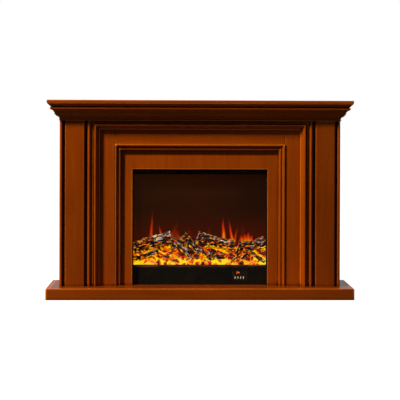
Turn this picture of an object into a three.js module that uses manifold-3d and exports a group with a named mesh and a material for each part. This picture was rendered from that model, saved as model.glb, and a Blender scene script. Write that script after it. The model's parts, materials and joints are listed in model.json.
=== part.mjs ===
// Electric fireplace: a moulded wooden surround on a plinth, with a flame-effect heater insert.
// Millimetres, +Z up, the front faces -Y, the origin is at the centre of the plinth's underside.
import * as THREE from "three";
import { mergeVertices } from "three/addons/utils/BufferGeometryUtils.js";
import Module from "manifold-3d";

// Overall size, and how far the shelf and the plinth stand out from the body.
const WIDTH = 1500;
const DEPTH = 330;
const HEIGHT = 970;
const SIDE_OVERHANG = 58;
const SHELF_SETBACK = 30;

// Boards and gaps.
const BOARD = 18;
const THIN_BOARD = 18;
const GAP = 0.3;
const ARC_STEPS = 5;

// Plinth and shelf.
const PLINTH_HEIGHT = 55;
const PLINTH_CORNER = 7;
const PLINTH_EDGE = 5;
const SHELF_THICKNESS = 14;
const SHELF_EDGE = 2.5;
const CROWN_HEIGHT = 85;

// Front elevation, from the body's edge inwards.
const BEAD_WIDTH = 15;
const OUTER_GROOVE = 12;
const PILASTER_WIDTH = 96;
const PILASTER_THICKNESS = 28;
const PILASTER_EDGE = 4.5;
const BEAD_SETBACK = 1;
const MOULDING_SETBACK = 2;
const INNER_MOULDING_PROUD = 6;
const INNER_GROOVE = 14;
const OUTER_MOULDING = 44;
const STILE_FACE = 75;
const HEADER_FACE = 73;
const INNER_MOULDING = 31;
const PANEL_SIDE = 54;
const PANEL_TOP = 92;
const PANEL_LAP = 38;
const JOINT_CHAMFER = 2.5;

// Rear rails.
const REAR_RAIL_HEIGHT = 60;
const BACKING_LAP = 40;

// Heater insert.
const INSERT_FIT = 1.5;
const INSERT_LAP = 6;
const INSERT_DEPTH = 160;
const BEZEL_BAR = 12;
const BEZEL_DEPTH = 10;
const SHEET = 1.5;
const CASE_INSET = 4;
const FASCIA_TOP = 86;
const FASCIA_SETBACK = 2;
const FASCIA_LEDGE = 12;
const GLASS_THICKNESS = 4;
const GLASS_SETBACK = 6;
const GRILLE_HEIGHT = 13;
const GRILLE_SLOT = 10;
const GRILLE_PITCH = 16;
const MECHANISM_BAY = 82;
const SCREEN_THICKNESS = 3;
const DUCT_HEIGHT = 29;
const TRAY_LIP = 8;
const TRAY_THICKNESS = 3;

// Controls.
const PANEL_LEFT_MARGIN = 10.5;
const PANEL_RIGHT_MARGIN = 14.8;
const PANEL_HEIGHT = 49;
const PANEL_FROM_RIGHT = 92;
const PANEL_FROM_TOP = 17;
const CONTROL_PLATE = 3;
const BUTTON_COUNT = 4;
const BUTTON_SPACE = 3.9;
const BUTTON_WIDTH = 10;
const BUTTON_HEIGHT = 16;
const BUTTON_TRAVEL = 1.5;
const BUTTON_PROUD = 2.8;
const BUTTON_CLEARANCE = 0.4;
const DISPLAY_WIDTH = 32;
const DISPLAY_HEIGHT = 13;

// Flame rotor, its motor and the blower.
const LAMP_SIZE = 6;
const LAMP_MARGIN = 1.5;
const HEATER_DEPTH = 24;
const ROTOR_RADIUS = 24;
const ROTOR_SHAFT = 3;
const ROTOR_HEIGHT = 52;
const ROTOR_END_SPACE = 66;
const FIN_PITCH = 40;
const MOTOR_RADIUS = 25;
const MOTOR_LENGTH = 22;
const MOTOR_SOCKET = 7;
const SHAFT_CLEARANCE = 0.4;
const FAN_RADIUS = 25;
const FAN_LENGTH = 240;
const FAN_BLADES = 16;
const FAN_MOTOR_LENGTH = 40;
const FAN_MOTOR_RADIUS = 20;
const WHEEL_FROM_BACK = 41;
const SCROLL_RADIUS = 29;
const GLAND_RADIUS = 9;
const GLAND_HOLE = 4.6;
const GLAND_LENGTH = 12;
const GLAND_FROM_SIDE = 80;
const GLAND_HEIGHT = 42;

// Levels and lines that follow from the sizes above.
const front = -DEPTH / 2;
const back = DEPTH / 2;
const shelfFront = front + SHELF_SETBACK;
const bodyHalf = WIDTH / 2 - SIDE_OVERHANG;
const bodyFront = shelfFront + SIDE_OVERHANG;
const boardFront = bodyFront + PILASTER_THICKNESS;
const boardBack = boardFront + THIN_BOARD;
const crownTop = HEIGHT - SHELF_THICKNESS;
const crownBottom = crownTop - CROWN_HEIGHT;
const columnWidth = 2 * BEAD_WIDTH + OUTER_GROOVE + PILASTER_WIDTH + INNER_GROOVE;
const columnInner = bodyHalf - columnWidth;
const outerMouldingInner = columnInner - OUTER_MOULDING;
const innerMouldingOuter = outerMouldingInner - STILE_FACE;
const innerMouldingInner = innerMouldingOuter - INNER_MOULDING;
const openingHalf = innerMouldingInner - PANEL_SIDE;
const outerMouldingTop = crownBottom - GAP - OUTER_MOULDING;
const headerBottom = outerMouldingTop - HEADER_FACE;
const innerMouldingTop = headerBottom - INNER_MOULDING;
const openingTop = innerMouldingTop - PANEL_TOP;
const pilasterOuter = bodyHalf - BEAD_WIDTH - OUTER_GROOVE;
const pilasterInner = pilasterOuter - PILASTER_WIDTH;

const finish = (color, roughness, metalness) =>
  new THREE.MeshStandardMaterial({ color, roughness, metalness });
const materials = {
  wood: finish(0x8a3c0c, 0.35, 0),
  rawBoard: finish(0x9a7a52, 0.85, 0),
  blackSteel: finish(0x141210, 0.45, 0.6),
  zincSteel: finish(0x9a9d9e, 0.4, 0.9),
  glass: finish(0x2a1c14, 0.05, 0),
  blackPlastic: finish(0x161412, 0.4, 0),
  buttonPlastic: finish(0x1a1816, 0.25, 0),
  display: finish(0xff5a12, 0.3, 0),
  circuit: finish(0x1c5a34, 0.6, 0),
  ember: finish(0xff9a12, 0.5, 0),
  log: finish(0x2a2018, 0.9, 0),
  screen: finish(0x2a0f06, 0.3, 0),
  foil: finish(0xd8dadb, 0.15, 1),
  heater: finish(0xb9bbb6, 0.5, 0.6),
};

const wasm = await Module();
wasm.setup();

// A closed geometry as a manifold-3d solid, and back.
function solidOf(geometry) {
  const bare = new THREE.BufferGeometry();
  bare.setAttribute("position", geometry.attributes.position.clone());
  if (geometry.index) bare.setIndex(geometry.index.clone());
  const merged = mergeVertices(bare, 1e-4);
  return new wasm.Manifold(
    new wasm.Mesh({
      numProp: 3,
      vertProperties: merged.attributes.position.array,
      triVerts: new Uint32Array(merged.index.array),
    }),
  );
}

function geometryOf(solid) {
  const mesh = solid.getMesh();
  const geometry = new THREE.BufferGeometry();
  geometry.setAttribute("position", new THREE.BufferAttribute(mesh.vertProperties, 3));
  geometry.setIndex(new THREE.BufferAttribute(mesh.triVerts, 1));
  geometry.computeVertexNormals();
  return geometry;
}

const joined = (...parts) => geometryOf(parts.map(solidOf).reduce((a, b) => a.add(b)));
const cut = (body, ...tools) =>
  geometryOf(tools.map(solidOf).reduce((a, b) => a.subtract(b), solidOf(body)));
const common = (a, b) => geometryOf(solidOf(a).intersect(solidOf(b)));

// A box between two values on each axis.
function block([x0, x1], [y0, y1], [z0, z1]) {
  const box = new THREE.BoxGeometry(x1 - x0, y1 - y0, z1 - z0);
  return box.translate((x0 + x1) / 2, (y0 + y1) / 2, (z0 + z1) / 2);
}

// Reverses the triangles of a geometry whose mapping has turned it inside out.
function facingOut(geometry) {
  const p = geometry.attributes.position;
  const corner = (i) => new THREE.Vector3().fromBufferAttribute(p, i);
  let volume = 0;
  for (let i = 0; i < p.count; i += 3) {
    volume += corner(i).dot(corner(i + 1).cross(corner(i + 2)));
  }
  if (volume > 0) return geometry;
  for (let i = 0; i < p.count; i += 3) {
    const [a, b] = [corner(i + 1), corner(i + 2)];
    p.setXYZ(i + 1, b.x, b.y, b.z);
    p.setXYZ(i + 2, a.x, a.y, a.z);
  }
  return geometry;
}

// A straight strip of the given section. startAt and endAt place the two ends of the line
// that runs from each section point (u, t), so that either end can be a mitre.
function strip(section, startAt, endAt) {
  const options = { depth: 1, bevelEnabled: false, curveSegments: ARC_STEPS };
  const geometry = new THREE.ExtrudeGeometry(section, options);
  const p = geometry.attributes.position;
  for (let i = 0; i < p.count; i++) {
    const start = new THREE.Vector3(...startAt(p.getX(i), p.getY(i)));
    const end = new THREE.Vector3(...endAt(p.getX(i), p.getY(i)));
    const at = start.lerp(end, p.getZ(i));
    p.setXYZ(i, at.x, at.y, at.z);
  }
  return facingOut(geometry);
}

// A rectangle as a shape, with corners of its own radius where one is given.
function rectangle([x0, x1], [y0, y1], radius = 0) {
  const shape = new THREE.Shape();
  if (radius === 0) {
    shape.moveTo(x0, y0).lineTo(x1, y0).lineTo(x1, y1).lineTo(x0, y1).closePath();
    return shape;
  }
  shape.absarc(x1 - radius, y0 + radius, radius, -Math.PI / 2, 0);
  shape.absarc(x1 - radius, y1 - radius, radius, 0, Math.PI / 2);
  shape.absarc(x0 + radius, y1 - radius, radius, Math.PI / 2, Math.PI);
  shape.absarc(x0 + radius, y0 + radius, radius, Math.PI, 1.5 * Math.PI);
  shape.closePath();
  return shape;
}

// A shape in the XZ plane, extruded along +Y from y0 to y1.
function alongY(shape, y0, y1, curveSegments = ARC_STEPS) {
  const options = { depth: y1 - y0, bevelEnabled: false, curveSegments };
  const geometry = new THREE.ExtrudeGeometry(shape, options);
  return geometry.rotateX(Math.PI / 2).translate(0, y1, 0);
}

// A plate in the XZ plane from y0 to y1, with each of the holes cut through it.
function pierced(outline, holes, y0, y1, curveSegments = ARC_STEPS) {
  const through = holes.map((hole) => alongY(hole, y0 - 1, y1 + 1, curveSegments));
  return cut(alongY(outline, y0, y1), ...through);
}

// A circle as a shape.
function disc(x, y, radius) {
  const shape = new THREE.Shape();
  shape.absarc(x, y, radius, 0, 2 * Math.PI);
  return shape;
}

// A turned piece about the X axis: points are [x, radius] pairs from end to end.
function turned(points, sides) {
  const profile = points.map(([x, r]) => new THREE.Vector2(r, x));
  return facingOut(new THREE.LatheGeometry(profile, sides).rotateZ(-Math.PI / 2).toNonIndexed());
}

const fireplace = new THREE.Group();
const surround = new THREE.Group();
const insert = new THREE.Group();
fireplace.add(surround, insert);

function add(parent, name, material, geometry) {
  const mesh = new THREE.Mesh(geometry, material);
  mesh.name = name;
  parent.add(mesh);
  return mesh;
}

const SIDES = [
  ["left", -1],
  ["right", 1],
];
const span = (sign, a, b) => [Math.min(sign * a, sign * b), Math.max(sign * a, sign * b)];

// Plinth: a front and two side fascias with a rounded top edge, a top board and a rear rail.
function plinth() {
  const section = new THREE.Shape();
  section.moveTo(0, 0).lineTo(BOARD, 0).lineTo(BOARD, PLINTH_HEIGHT - PLINTH_EDGE);
  section.absarc(BOARD - PLINTH_EDGE, PLINTH_HEIGHT - PLINTH_EDGE, PLINTH_EDGE, 0, Math.PI / 2);
  section.lineTo(0, PLINTH_HEIGHT).closePath();
  const innerHalf = WIDTH / 2 - BOARD;
  const innerFront = front + BOARD;
  const outline = new THREE.ExtrudeGeometry(
    rectangle([-WIDTH / 2, WIDTH / 2], [front, back + 2 * PLINTH_CORNER], PLINTH_CORNER),
    { depth: PLINTH_HEIGHT, bevelEnabled: false, curveSegments: ARC_STEPS },
  );
  const frontStrip = strip(
    section,
    (u, z) => [-innerHalf - u, innerFront - u, z],
    (u, z) => [innerHalf + u, innerFront - u, z],
  );
  add(surround, "plinth_front", materials.wood, common(frontStrip, outline));
  for (const [side, sign] of SIDES) {
    const sideStrip = strip(
      section,
      (u, z) => [sign * (innerHalf + u), innerFront - u + GAP, z],
      (u, z) => [sign * (innerHalf + u), back, z],
    );
    add(surround, `plinth_${side}`, materials.wood, common(sideStrip, outline));
  }
  const across = [-innerHalf + GAP, innerHalf - GAP];
  const topBoard = block(across, [innerFront + GAP, back], [PLINTH_HEIGHT - BOARD, PLINTH_HEIGHT]);
  add(surround, "plinth_top", materials.wood, topBoard);
  const rail = block(across, [back - BOARD, back], [0, PLINTH_HEIGHT - BOARD - GAP]);
  add(surround, "plinth_rear_rail", materials.rawBoard, rail);
}

// Columns: a board with a half-round bead down each edge, a raised pilaster and a side panel.
function columns() {
  const bead = BEAD_WIDTH / 2;
  const shoulder = THIN_BOARD + PILASTER_THICKNESS - BEAD_SETBACK - bead;
  const section = new THREE.Shape();
  section.moveTo(0, 0).lineTo(columnWidth, 0).lineTo(columnWidth, shoulder);
  section.absarc(columnWidth - bead, shoulder, bead, 0, Math.PI);
  section.lineTo(columnWidth - BEAD_WIDTH, THIN_BOARD).lineTo(BEAD_WIDTH, THIN_BOARD);
  section.lineTo(BEAD_WIDTH, shoulder).absarc(bead, shoulder, bead, 0, Math.PI);
  section.closePath();
  const raised = new THREE.Shape();
  const edge = PILASTER_EDGE;
  raised.moveTo(pilasterInner, GAP).lineTo(pilasterOuter, GAP);
  raised.absarc(pilasterOuter - edge, PILASTER_THICKNESS - edge, edge, 0, Math.PI / 2);
  raised.absarc(pilasterInner + edge, PILASTER_THICKNESS - edge, edge, Math.PI / 2, Math.PI);
  raised.closePath();
  const low = PLINTH_HEIGHT + GAP;
  const high = crownBottom - GAP;
  for (const [side, sign] of SIDES) {
    const board = strip(
      section,
      (u, t) => [sign * (columnInner + u), boardBack - t, low],
      (u, t) => [sign * (columnInner + u), boardBack - t, high],
    );
    add(surround, `column_board_${side}`, materials.wood, board);
    const pilaster = strip(
      raised,
      (x, t) => [sign * x, boardFront - t, low],
      (x, t) => [sign * x, boardFront - t, high],
    );
    add(surround, `pilaster_${side}`, materials.wood, pilaster);
    const across = span(sign, bodyHalf - BOARD, bodyHalf);
    const panel = block(across, [boardBack + GAP, back], [low, crownTop - GAP]);
    add(surround, `side_panel_${side}`, materials.wood, panel);
  }
}

// Flat frame inside the columns: two stiles and a header, with a V joint between them.
function flatFrame() {
  const low = PLINTH_HEIGHT + GAP;
  const high = crownBottom - GAP;
  const c = JOINT_CHAMFER;
  const outer = columnInner - GAP;
  for (const [side, sign] of SIDES) {
    const section = new THREE.Shape();
    section.moveTo(innerMouldingOuter, THIN_BOARD).lineTo(outer, THIN_BOARD).lineTo(outer, 0);
    section.lineTo(innerMouldingOuter + c, 0).lineTo(innerMouldingOuter, c).closePath();
    const stile = strip(
      section,
      (x, t) => [sign * x, boardFront + t, low],
      (x, t) => [sign * x, boardFront + t, high],
    );
    add(surround, `stile_${side}`, materials.wood, stile);
  }
  const half = innerMouldingOuter - GAP;
  const section = new THREE.Shape();
  section.moveTo(-half, THIN_BOARD).lineTo(half, THIN_BOARD).lineTo(half, c);
  section.lineTo(half - c, 0).lineTo(c - half, 0).lineTo(-half, c).closePath();
  const header = strip(
    section,
    (x, t) => [x, boardFront + t, headerBottom + GAP],
    (x, t) => [x, boardFront + t, high],
  );
  add(surround, "header_rail", materials.wood, header);
}

// A moulding planted round the fire's sides and top: two legs and a rail, mitred together.
function plantedMoulding(name, section, halfWidth, top, seat) {
  const x = (u) => halfWidth + u;
  for (const [side, sign] of SIDES) {
    const leg = strip(
      section,
      (u, t) => [sign * x(u), seat - t, PLINTH_HEIGHT + GAP],
      (u, t) => [sign * x(u), seat - t, top + u - GAP],
    );
    add(surround, `${name}_${side}`, materials.wood, leg);
  }
  const rail = strip(
    section,
    (u, t) => [-x(u), seat - t, top + u],
    (u, t) => [x(u), seat - t, top + u],
  );
  add(surround, `${name}_top`, materials.wood, rail);
}

// Outer moulding section: an ogee and a cove up to a ridge, a deep quirk behind the ridge and
// a low bead and flat beside the column's bead.
function outerMouldingSection() {
  const width = OUTER_MOULDING - GAP;
  const crest = PILASTER_THICKNESS - MOULDING_SETBACK;
  const section = new THREE.Shape();
  section.moveTo(0, GAP).lineTo(0, 4).quadraticCurveTo(5, 4.5, 9, 10).lineTo(10, 11.2);
  section.quadraticCurveTo(12, crest - 3, 18, crest - 1.5);
  section.quadraticCurveTo(20.5, crest + 0.5, 24, crest - 1).lineTo(25.5, crest - 4);
  section.lineTo(26.5, crest - 13).lineTo(28, crest - 13);
  section.quadraticCurveTo(28.5, crest - 8.5, 32, crest - 8.5);
  section.quadraticCurveTo(35, crest - 8.5, 35.5, crest - 11).lineTo(width, crest - 11);
  section.lineTo(width, GAP).closePath();
  return section;
}

// Inner moulding section: a step up to a low bead beside the panel, a quirk, then a cove up
// to a round ridge beside the flat frame.
function innerMouldingSection() {
  const width = INNER_MOULDING - GAP;
  const crest = THIN_BOARD + INNER_MOULDING_PROUD;
  const section = new THREE.Shape();
  section.moveTo(0, GAP).lineTo(0, 4).quadraticCurveTo(0.5, 13, 5, 14.5);
  section.quadraticCurveTo(8, 16, 12, 15).lineTo(13.5, 13.5).lineTo(14.5, 12.5).lineTo(15.5, 12.5);
  section.quadraticCurveTo(17.5, crest - 3, 23.5, crest - 1.5).lineTo(24, crest - 0.8);
  section.quadraticCurveTo(25.5, crest + 0.3, 28, crest);
  section.quadraticCurveTo(width, crest, width, crest - 4).lineTo(width, GAP).closePath();
  return section;
}

// One panel with the fire opening cut out of its lower edge, behind the stiles and header.
function openingPanel() {
  const half = innerMouldingOuter + PANEL_LAP;
  const low = PLINTH_HEIGHT + GAP;
  const high = headerBottom + PANEL_LAP;
  const outline = new THREE.Shape();
  outline.moveTo(-half, low).lineTo(-openingHalf, low).lineTo(-openingHalf, openingTop);
  outline.lineTo(openingHalf, openingTop).lineTo(openingHalf, low).lineTo(half, low);
  outline.lineTo(half, high).lineTo(-half, high).closePath();
  const panel = alongY(outline, boardBack + GAP, boardBack + GAP + THIN_BOARD);
  add(surround, "opening_panel", materials.wood, panel);
}

// Crown section as (projection from the body, height above the crown's foot): a foot bead, a
// cove, an ovolo, a splay, a second cove, a bullnosed lip and a splay up to the shelf.
function crownSection(backOf) {
  const top = CROWN_HEIGHT - GAP;
  const section = new THREE.Shape();
  section.moveTo(backOf, 0).lineTo(3, 0).quadraticCurveTo(5, 0.2, 4.8, 1.6);
  section.quadraticCurveTo(4.6, 3.1, 3, 3.2).lineTo(1, 3.4).lineTo(1.5, 9);
  section.quadraticCurveTo(2.5, 15.5, 6.5, 17.3).lineTo(7.8, 17.4).lineTo(7.8, 19);
  section.quadraticCurveTo(17, 20.5, 19, 28.5).lineTo(22, 29).lineTo(23.5, 36).lineTo(26, 41.7);
  section.quadraticCurveTo(30, 49.5, 38, 51.2).lineTo(40.5, 51.6).lineTo(40.5, 53.4);
  section.quadraticCurveTo(44, 53.6, 44, 58.8).quadraticCurveTo(44, 64, 40, 64.2);
  section.lineTo(38, 64.6).lineTo(56.5, top - 1.5).lineTo(56.5, top).lineTo(backOf, top);
  section.closePath();
  return section;
}

// Crown, the frieze board behind it and the header, shelf on top and a rail across the back.
function crownAndShelf() {
  const frontCrown = strip(
    crownSection(-PILASTER_THICKNESS),
    (p, z) => [-bodyHalf - p, bodyFront - p, crownBottom + z],
    (p, z) => [bodyHalf + p, bodyFront - p, crownBottom + z],
  );
  add(surround, "crown_front", materials.wood, frontCrown);
  for (const [side, sign] of SIDES) {
    const crown = strip(
      crownSection(GAP),
      (p, z) => [sign * (bodyHalf + p), bodyFront - p + GAP, crownBottom + z],
      (p, z) => [sign * (bodyHalf + p), back, crownBottom + z],
    );
    add(surround, `crown_${side}`, materials.wood, crown);
  }
  const insideHalf = bodyHalf - BOARD - GAP;
  const underShelf = crownTop - GAP;
  const frieze = block(
    [-insideHalf, insideHalf],
    [boardBack + GAP, boardBack + GAP + BOARD],
    [crownBottom - BACKING_LAP, underShelf],
  );
  add(surround, "frieze_board", materials.rawBoard, frieze);
  const railLevel = [underShelf - REAR_RAIL_HEIGHT, underShelf];
  const rail = block([-insideHalf, insideHalf], [back - BOARD, back], railLevel);
  add(surround, "rear_top_rail", materials.rawBoard, rail);
  const e = SHELF_EDGE;
  const outline = rectangle(
    [-WIDTH / 2 + e, WIDTH / 2 - e],
    [shelfFront + e, back - e],
    SHELF_EDGE,
  );
  const shelf = new THREE.ExtrudeGeometry(outline, {
    depth: SHELF_THICKNESS - 2 * e,
    bevelSize: e,
    bevelThickness: e,
    bevelSegments: 3,
    curveSegments: 3,
  });
  shelf.translate(0, 0, crownTop + e);
  add(surround, "mantel_shelf", materials.wood, shelf);
}

// The insert has its own frame: x from its centre, y back from the bezel's face, z up from
// its underside. Its bezel laps behind the opening panel.
const insertHalf = openingHalf + INSERT_LAP;
const insertHeight = openingTop + INSERT_LAP - PLINTH_HEIGHT - GAP;
const caseHalf = insertHalf - CASE_INSET;
const caseInner = caseHalf - SHEET;
const caseBottom = 1;
const caseTop = insertHeight - 2;
const caseFront = BEZEL_DEPTH + GAP;
const innerBack = INSERT_DEPTH - SHEET;
const frameHalf = insertHalf - BEZEL_BAR - GAP;
const frameTop = insertHeight - BEZEL_BAR - GAP;
const glassTop = frameTop - GRILLE_HEIGHT;
const ductFloor = caseTop - SHEET - DUCT_HEIGHT;
const mechanismY = INSERT_DEPTH - WHEEL_FROM_BACK;
const screenSetback = INSERT_DEPTH - MECHANISM_BAY;
const buttonPitch = BUTTON_WIDTH + BUTTON_SPACE;
const buttonsWidth = BUTTON_COUNT * BUTTON_WIDTH + (BUTTON_COUNT - 1) * BUTTON_SPACE;
const panelWidth = PANEL_LEFT_MARGIN + buttonsWidth + PANEL_RIGHT_MARGIN;
const trayBottom = FASCIA_TOP + GAP;
const trayTop = trayBottom + TRAY_THICKNESS;
const trayFront = FASCIA_SETBACK + FASCIA_LEDGE + GAP;
const fireRun = screenSetback - trayFront;
const lightDepth = [trayFront + 0.16 * fireRun, trayFront + 0.55 * fireRun];
insert.position.set(0, boardBack + GAP + THIN_BOARD + INSERT_FIT, PLINTH_HEIGHT + GAP);

// Sheet-metal case of five panels. The rear cover has intake slots and the cord's hole.
function insertCase() {
  const depth = [caseFront, innerBack - GAP];
  for (const [side, sign] of SIDES) {
    const wall = block(span(sign, caseInner, caseHalf), depth, [caseBottom, caseTop]);
    add(insert, `case_${side}`, materials.zincSteel, wall);
  }
  const across = [-caseInner + GAP, caseInner - GAP];
  const floor = block(across, depth, [caseBottom, caseBottom + SHEET]);
  add(insert, "case_floor", materials.zincSteel, floor);
  const lid = block(across, depth, [caseTop - SHEET, caseTop]);
  add(insert, "case_top", materials.zincSteel, lid);

  const plate = rectangle([-caseHalf, caseHalf], [caseBottom, caseTop]);
  const slotWidth = 5;
  const slotPitch = 12;
  const columnsOfSlots = 9;
  const slotRows = [150, 100].map((drop) => [caseTop - drop, caseTop - drop + 40]);
  const holes = [disc(glandX(), GLAND_HEIGHT, GLAND_RADIUS - 2 + GAP)];
  for (const rows of slotRows) {
    for (let i = 0; i < columnsOfSlots; i++) {
      const x = (i - (columnsOfSlots - 1) / 2) * slotPitch;
      holes.push(rectangle([x - slotWidth / 2, x + slotWidth / 2], rows));
    }
  }
  const cover = pierced(plate, holes, innerBack, INSERT_DEPTH, 6);
  add(insert, "rear_cover", materials.zincSteel, cover);
}

const glandX = () => -caseHalf + GLAND_FROM_SIDE;

// Strain-relief bush in the rear cover, bored for the mains lead.
function cordGland() {
  const [r, hole] = [GLAND_RADIUS, GLAND_HOLE];
  const neck = r - 2;
  const inside = innerBack - 4;
  const outside = INSERT_DEPTH + GLAND_LENGTH;
  const profile = [
    [inside, hole],
    [inside, neck],
    [INSERT_DEPTH + GAP, neck],
    [INSERT_DEPTH + GAP, r],
    [INSERT_DEPTH + 3, r],
    [outside, neck - 1],
    [outside, hole],
    [inside, hole],
  ];
  const gland = turned(profile, 16).rotateZ(Math.PI / 2).translate(glandX(), 0, GLAND_HEIGHT);
  add(insert, "cord_gland", materials.blackPlastic, gland);
}

// Black front: bezel ring, glass, air outlet grille and the fascia under the fire.
function insertFront() {
  const ring = rectangle([-insertHalf, insertHalf], [0, insertHeight]);
  const inside = [BEZEL_BAR, insertHeight - BEZEL_BAR];
  ring.holes.push(rectangle([-insertHalf + BEZEL_BAR, insertHalf - BEZEL_BAR], inside));
  add(insert, "front_bezel", materials.blackSteel, alongY(ring, 0, BEZEL_DEPTH));

  const across = [-frameHalf, frameHalf];
  const glassBack = GLASS_SETBACK + GLASS_THICKNESS;
  const pane = block(across, [GLASS_SETBACK, glassBack], [FASCIA_TOP + GAP, glassTop - GAP]);
  add(insert, "front_glass", materials.glass, pane);

  const grille = rectangle(across, [glassTop, frameTop]);
  const slots = Math.floor((2 * frameHalf - GRILLE_PITCH) / GRILLE_PITCH);
  const margin = 4;
  const openings = [];
  for (let i = 0; i < slots; i++) {
    const x = (i - (slots - 1) / 2) * GRILLE_PITCH;
    const width = [x - GRILLE_SLOT / 2, x + GRILLE_SLOT / 2];
    openings.push(rectangle(width, [glassTop + margin, frameTop - margin]));
  }
  const plateOfGrille = pierced(grille, openings, GLASS_SETBACK - 2, GLASS_SETBACK);
  add(insert, "outlet_grille", materials.blackSteel, plateOfGrille);

  const face = [FASCIA_SETBACK, FASCIA_SETBACK + 2];
  const plate = block(across, face, [BEZEL_BAR + GAP, FASCIA_TOP]);
  const ledge = block(across, [FASCIA_SETBACK, trayFront - GAP], [FASCIA_TOP - SHEET, FASCIA_TOP]);
  const pocket = block(panelX(), [-1, face[1] + 1], panelZ());
  add(insert, "lower_fascia", materials.blackSteel, cut(joined(plate, ledge), pocket));
}

const panelX = () => {
  const right = frameHalf - PANEL_FROM_RIGHT;
  return [right - panelWidth, right];
};
const panelZ = () => [FASCIA_TOP - PANEL_FROM_TOP - PANEL_HEIGHT, FASCIA_TOP - PANEL_FROM_TOP];

// Control panel: a plate with a row of push buttons under a display window.
function controls() {
  const [x0, x1] = panelX();
  const [z0, z1] = panelZ();
  const buttonsLeft = x0 + PANEL_LEFT_MARGIN + BUTTON_WIDTH / 2;
  const buttonZ = z0 + 14.5;
  const displayX = x0 + 30;
  const displayZ = z1 - 10;
  const plateFront = FASCIA_SETBACK + 1;
  const plateBack = plateFront + CONTROL_PLATE;
  const oblong = (x, z, width, height) => {
    const radius = Math.min(width, height) / 2 - 0.1;
    const across = [x - width / 2, x + width / 2];
    return rectangle(across, [z - height / 2, z + height / 2], radius);
  };
  const windowAt = (grow) =>
    rectangle(
      [displayX - DISPLAY_WIDTH / 2 - grow, displayX + DISPLAY_WIDTH / 2 + grow],
      [displayZ - DISPLAY_HEIGHT / 2 - grow, displayZ + DISPLAY_HEIGHT / 2 + grow],
    );
  const plate = rectangle([x0 + GAP, x1 - GAP], [z0 + GAP, z1 - GAP]);
  const holes = [windowAt(GAP)];
  for (let i = 0; i < BUTTON_COUNT; i++) {
    const x = buttonsLeft + i * buttonPitch;
    const room = 2 * BUTTON_CLEARANCE;
    holes.push(oblong(x, buttonZ, BUTTON_WIDTH + room, BUTTON_HEIGHT + room));
    const dome = 1.2;
    const capShape = oblong(x, buttonZ, BUTTON_WIDTH - 2 * dome, BUTTON_HEIGHT - 2 * dome);
    const capFront = plateFront - BUTTON_PROUD;
    const capBack = plateBack + BUTTON_CLEARANCE + 1;
    const cap = new THREE.ExtrudeGeometry(capShape, {
      depth: capBack - capFront - 2 * dome,
      bevelSize: dome,
      bevelThickness: dome,
      bevelSegments: 2,
      curveSegments: 4,
    });
    cap.rotateX(Math.PI / 2).translate(0, capBack - dome, 0);
    const flangeShape = oblong(x, buttonZ, BUTTON_WIDTH + 3, BUTTON_HEIGHT + 3);
    const flangeFront = plateBack + BUTTON_CLEARANCE;
    const flange = alongY(flangeShape, flangeFront, flangeFront + 1.2, 3);
    add(insert, `button_${i + 1}`, materials.buttonPlastic, joined(cap, flange));
  }
  const panel = pierced(plate, holes, plateFront, plateBack, 4);
  add(insert, "control_panel", materials.blackPlastic, panel);
  const lens = alongY(windowAt(0), plateFront + 0.3, plateBack);
  add(insert, "display_window", materials.display, lens);
  const boardFace = plateBack + BUTTON_CLEARANCE + BUTTON_TRAVEL + 4;
  const board = block([x0 - 6, x1 + 6], [boardFace, boardFace + 1.6], [z0 - 6, z1 + 2]);
  add(insert, "control_board", materials.circuit, board);
}

// Firebox: tray with a light window, ember bed, screen behind it and the ceiling under the duct.
function firebox() {
  const half = caseInner - 2;
  const trayBack = screenSetback - GAP;
  const plate = block([-half, half], [trayFront, trayBack], [trayBottom, trayTop]);
  const lip = block([-half, half], [trayFront, trayFront + 2], [trayBottom, trayTop + TRAY_LIP]);
  const light = block([-half + 30, half - 30], lightDepth, [0, trayTop + 1]);
  add(insert, "ember_tray", materials.blackSteel, cut(joined(plate, lip), light));

  const bedFront = trayFront + 2 + GAP;
  const bedBack = screenSetback - 2;
  const bedFoot = trayTop + GAP;
  const section = new THREE.Shape();
  const run = bedBack - bedFront;
  const [low, middle, high] = [bedFoot + 12, bedFoot + 32, bedFoot + 58];
  section.moveTo(bedFront, bedFoot).lineTo(bedBack, bedFoot).lineTo(bedBack, high);
  section.quadraticCurveTo(bedBack - 0.32 * run, high - 2, bedBack - 0.5 * run, middle);
  section.quadraticCurveTo(bedFront + 0.2 * run, middle - 4, bedFront, low).closePath();
  const bedHalf = half - 2;
  const bed = strip(
    section,
    (y, z) => [-bedHalf, y, z],
    (y, z) => [bedHalf, y, z],
  );
  add(insert, "ember_bed", materials.ember, bed);

  const screenDepth = [screenSetback, screenSetback + SCREEN_THICKNESS];
  const screen = block([-half, half], screenDepth, [trayBottom, ductFloor - GAP]);
  add(insert, "flame_screen", materials.screen, screen);
  const across = [-caseInner + GAP, caseInner - GAP];
  const ceiling = block(across, [caseFront, screenDepth[1]], [ductFloor, ductFloor + SHEET]);
  add(insert, "firebox_ceiling", materials.blackSteel, ceiling);
}

// A log as a turned, tapered solid between two points of the firebox.
function logBetween(from, to, thick, thin) {
  const [a, b] = [new THREE.Vector3(...from), new THREE.Vector3(...to)];
  const length = a.distanceTo(b);
  const rings = 5;
  const profile = [new THREE.Vector2(0, 0)];
  for (let i = 0; i <= rings; i++) {
    const along = i / rings;
    const swell = 1 + 0.08 * Math.sin(along * 2.2 * Math.PI);
    profile.push(new THREE.Vector2((thick + (thin - thick) * along) * swell, along * length));
  }
  profile.push(new THREE.Vector2(0, length));
  const turn = new THREE.Quaternion().setFromUnitVectors(
    new THREE.Vector3(0, 1, 0),
    b.clone().sub(a).normalize(),
  );
  const log = new THREE.LatheGeometry(profile, 10);
  return log.applyQuaternion(turn).translate(a.x, a.y, a.z);
}

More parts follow.
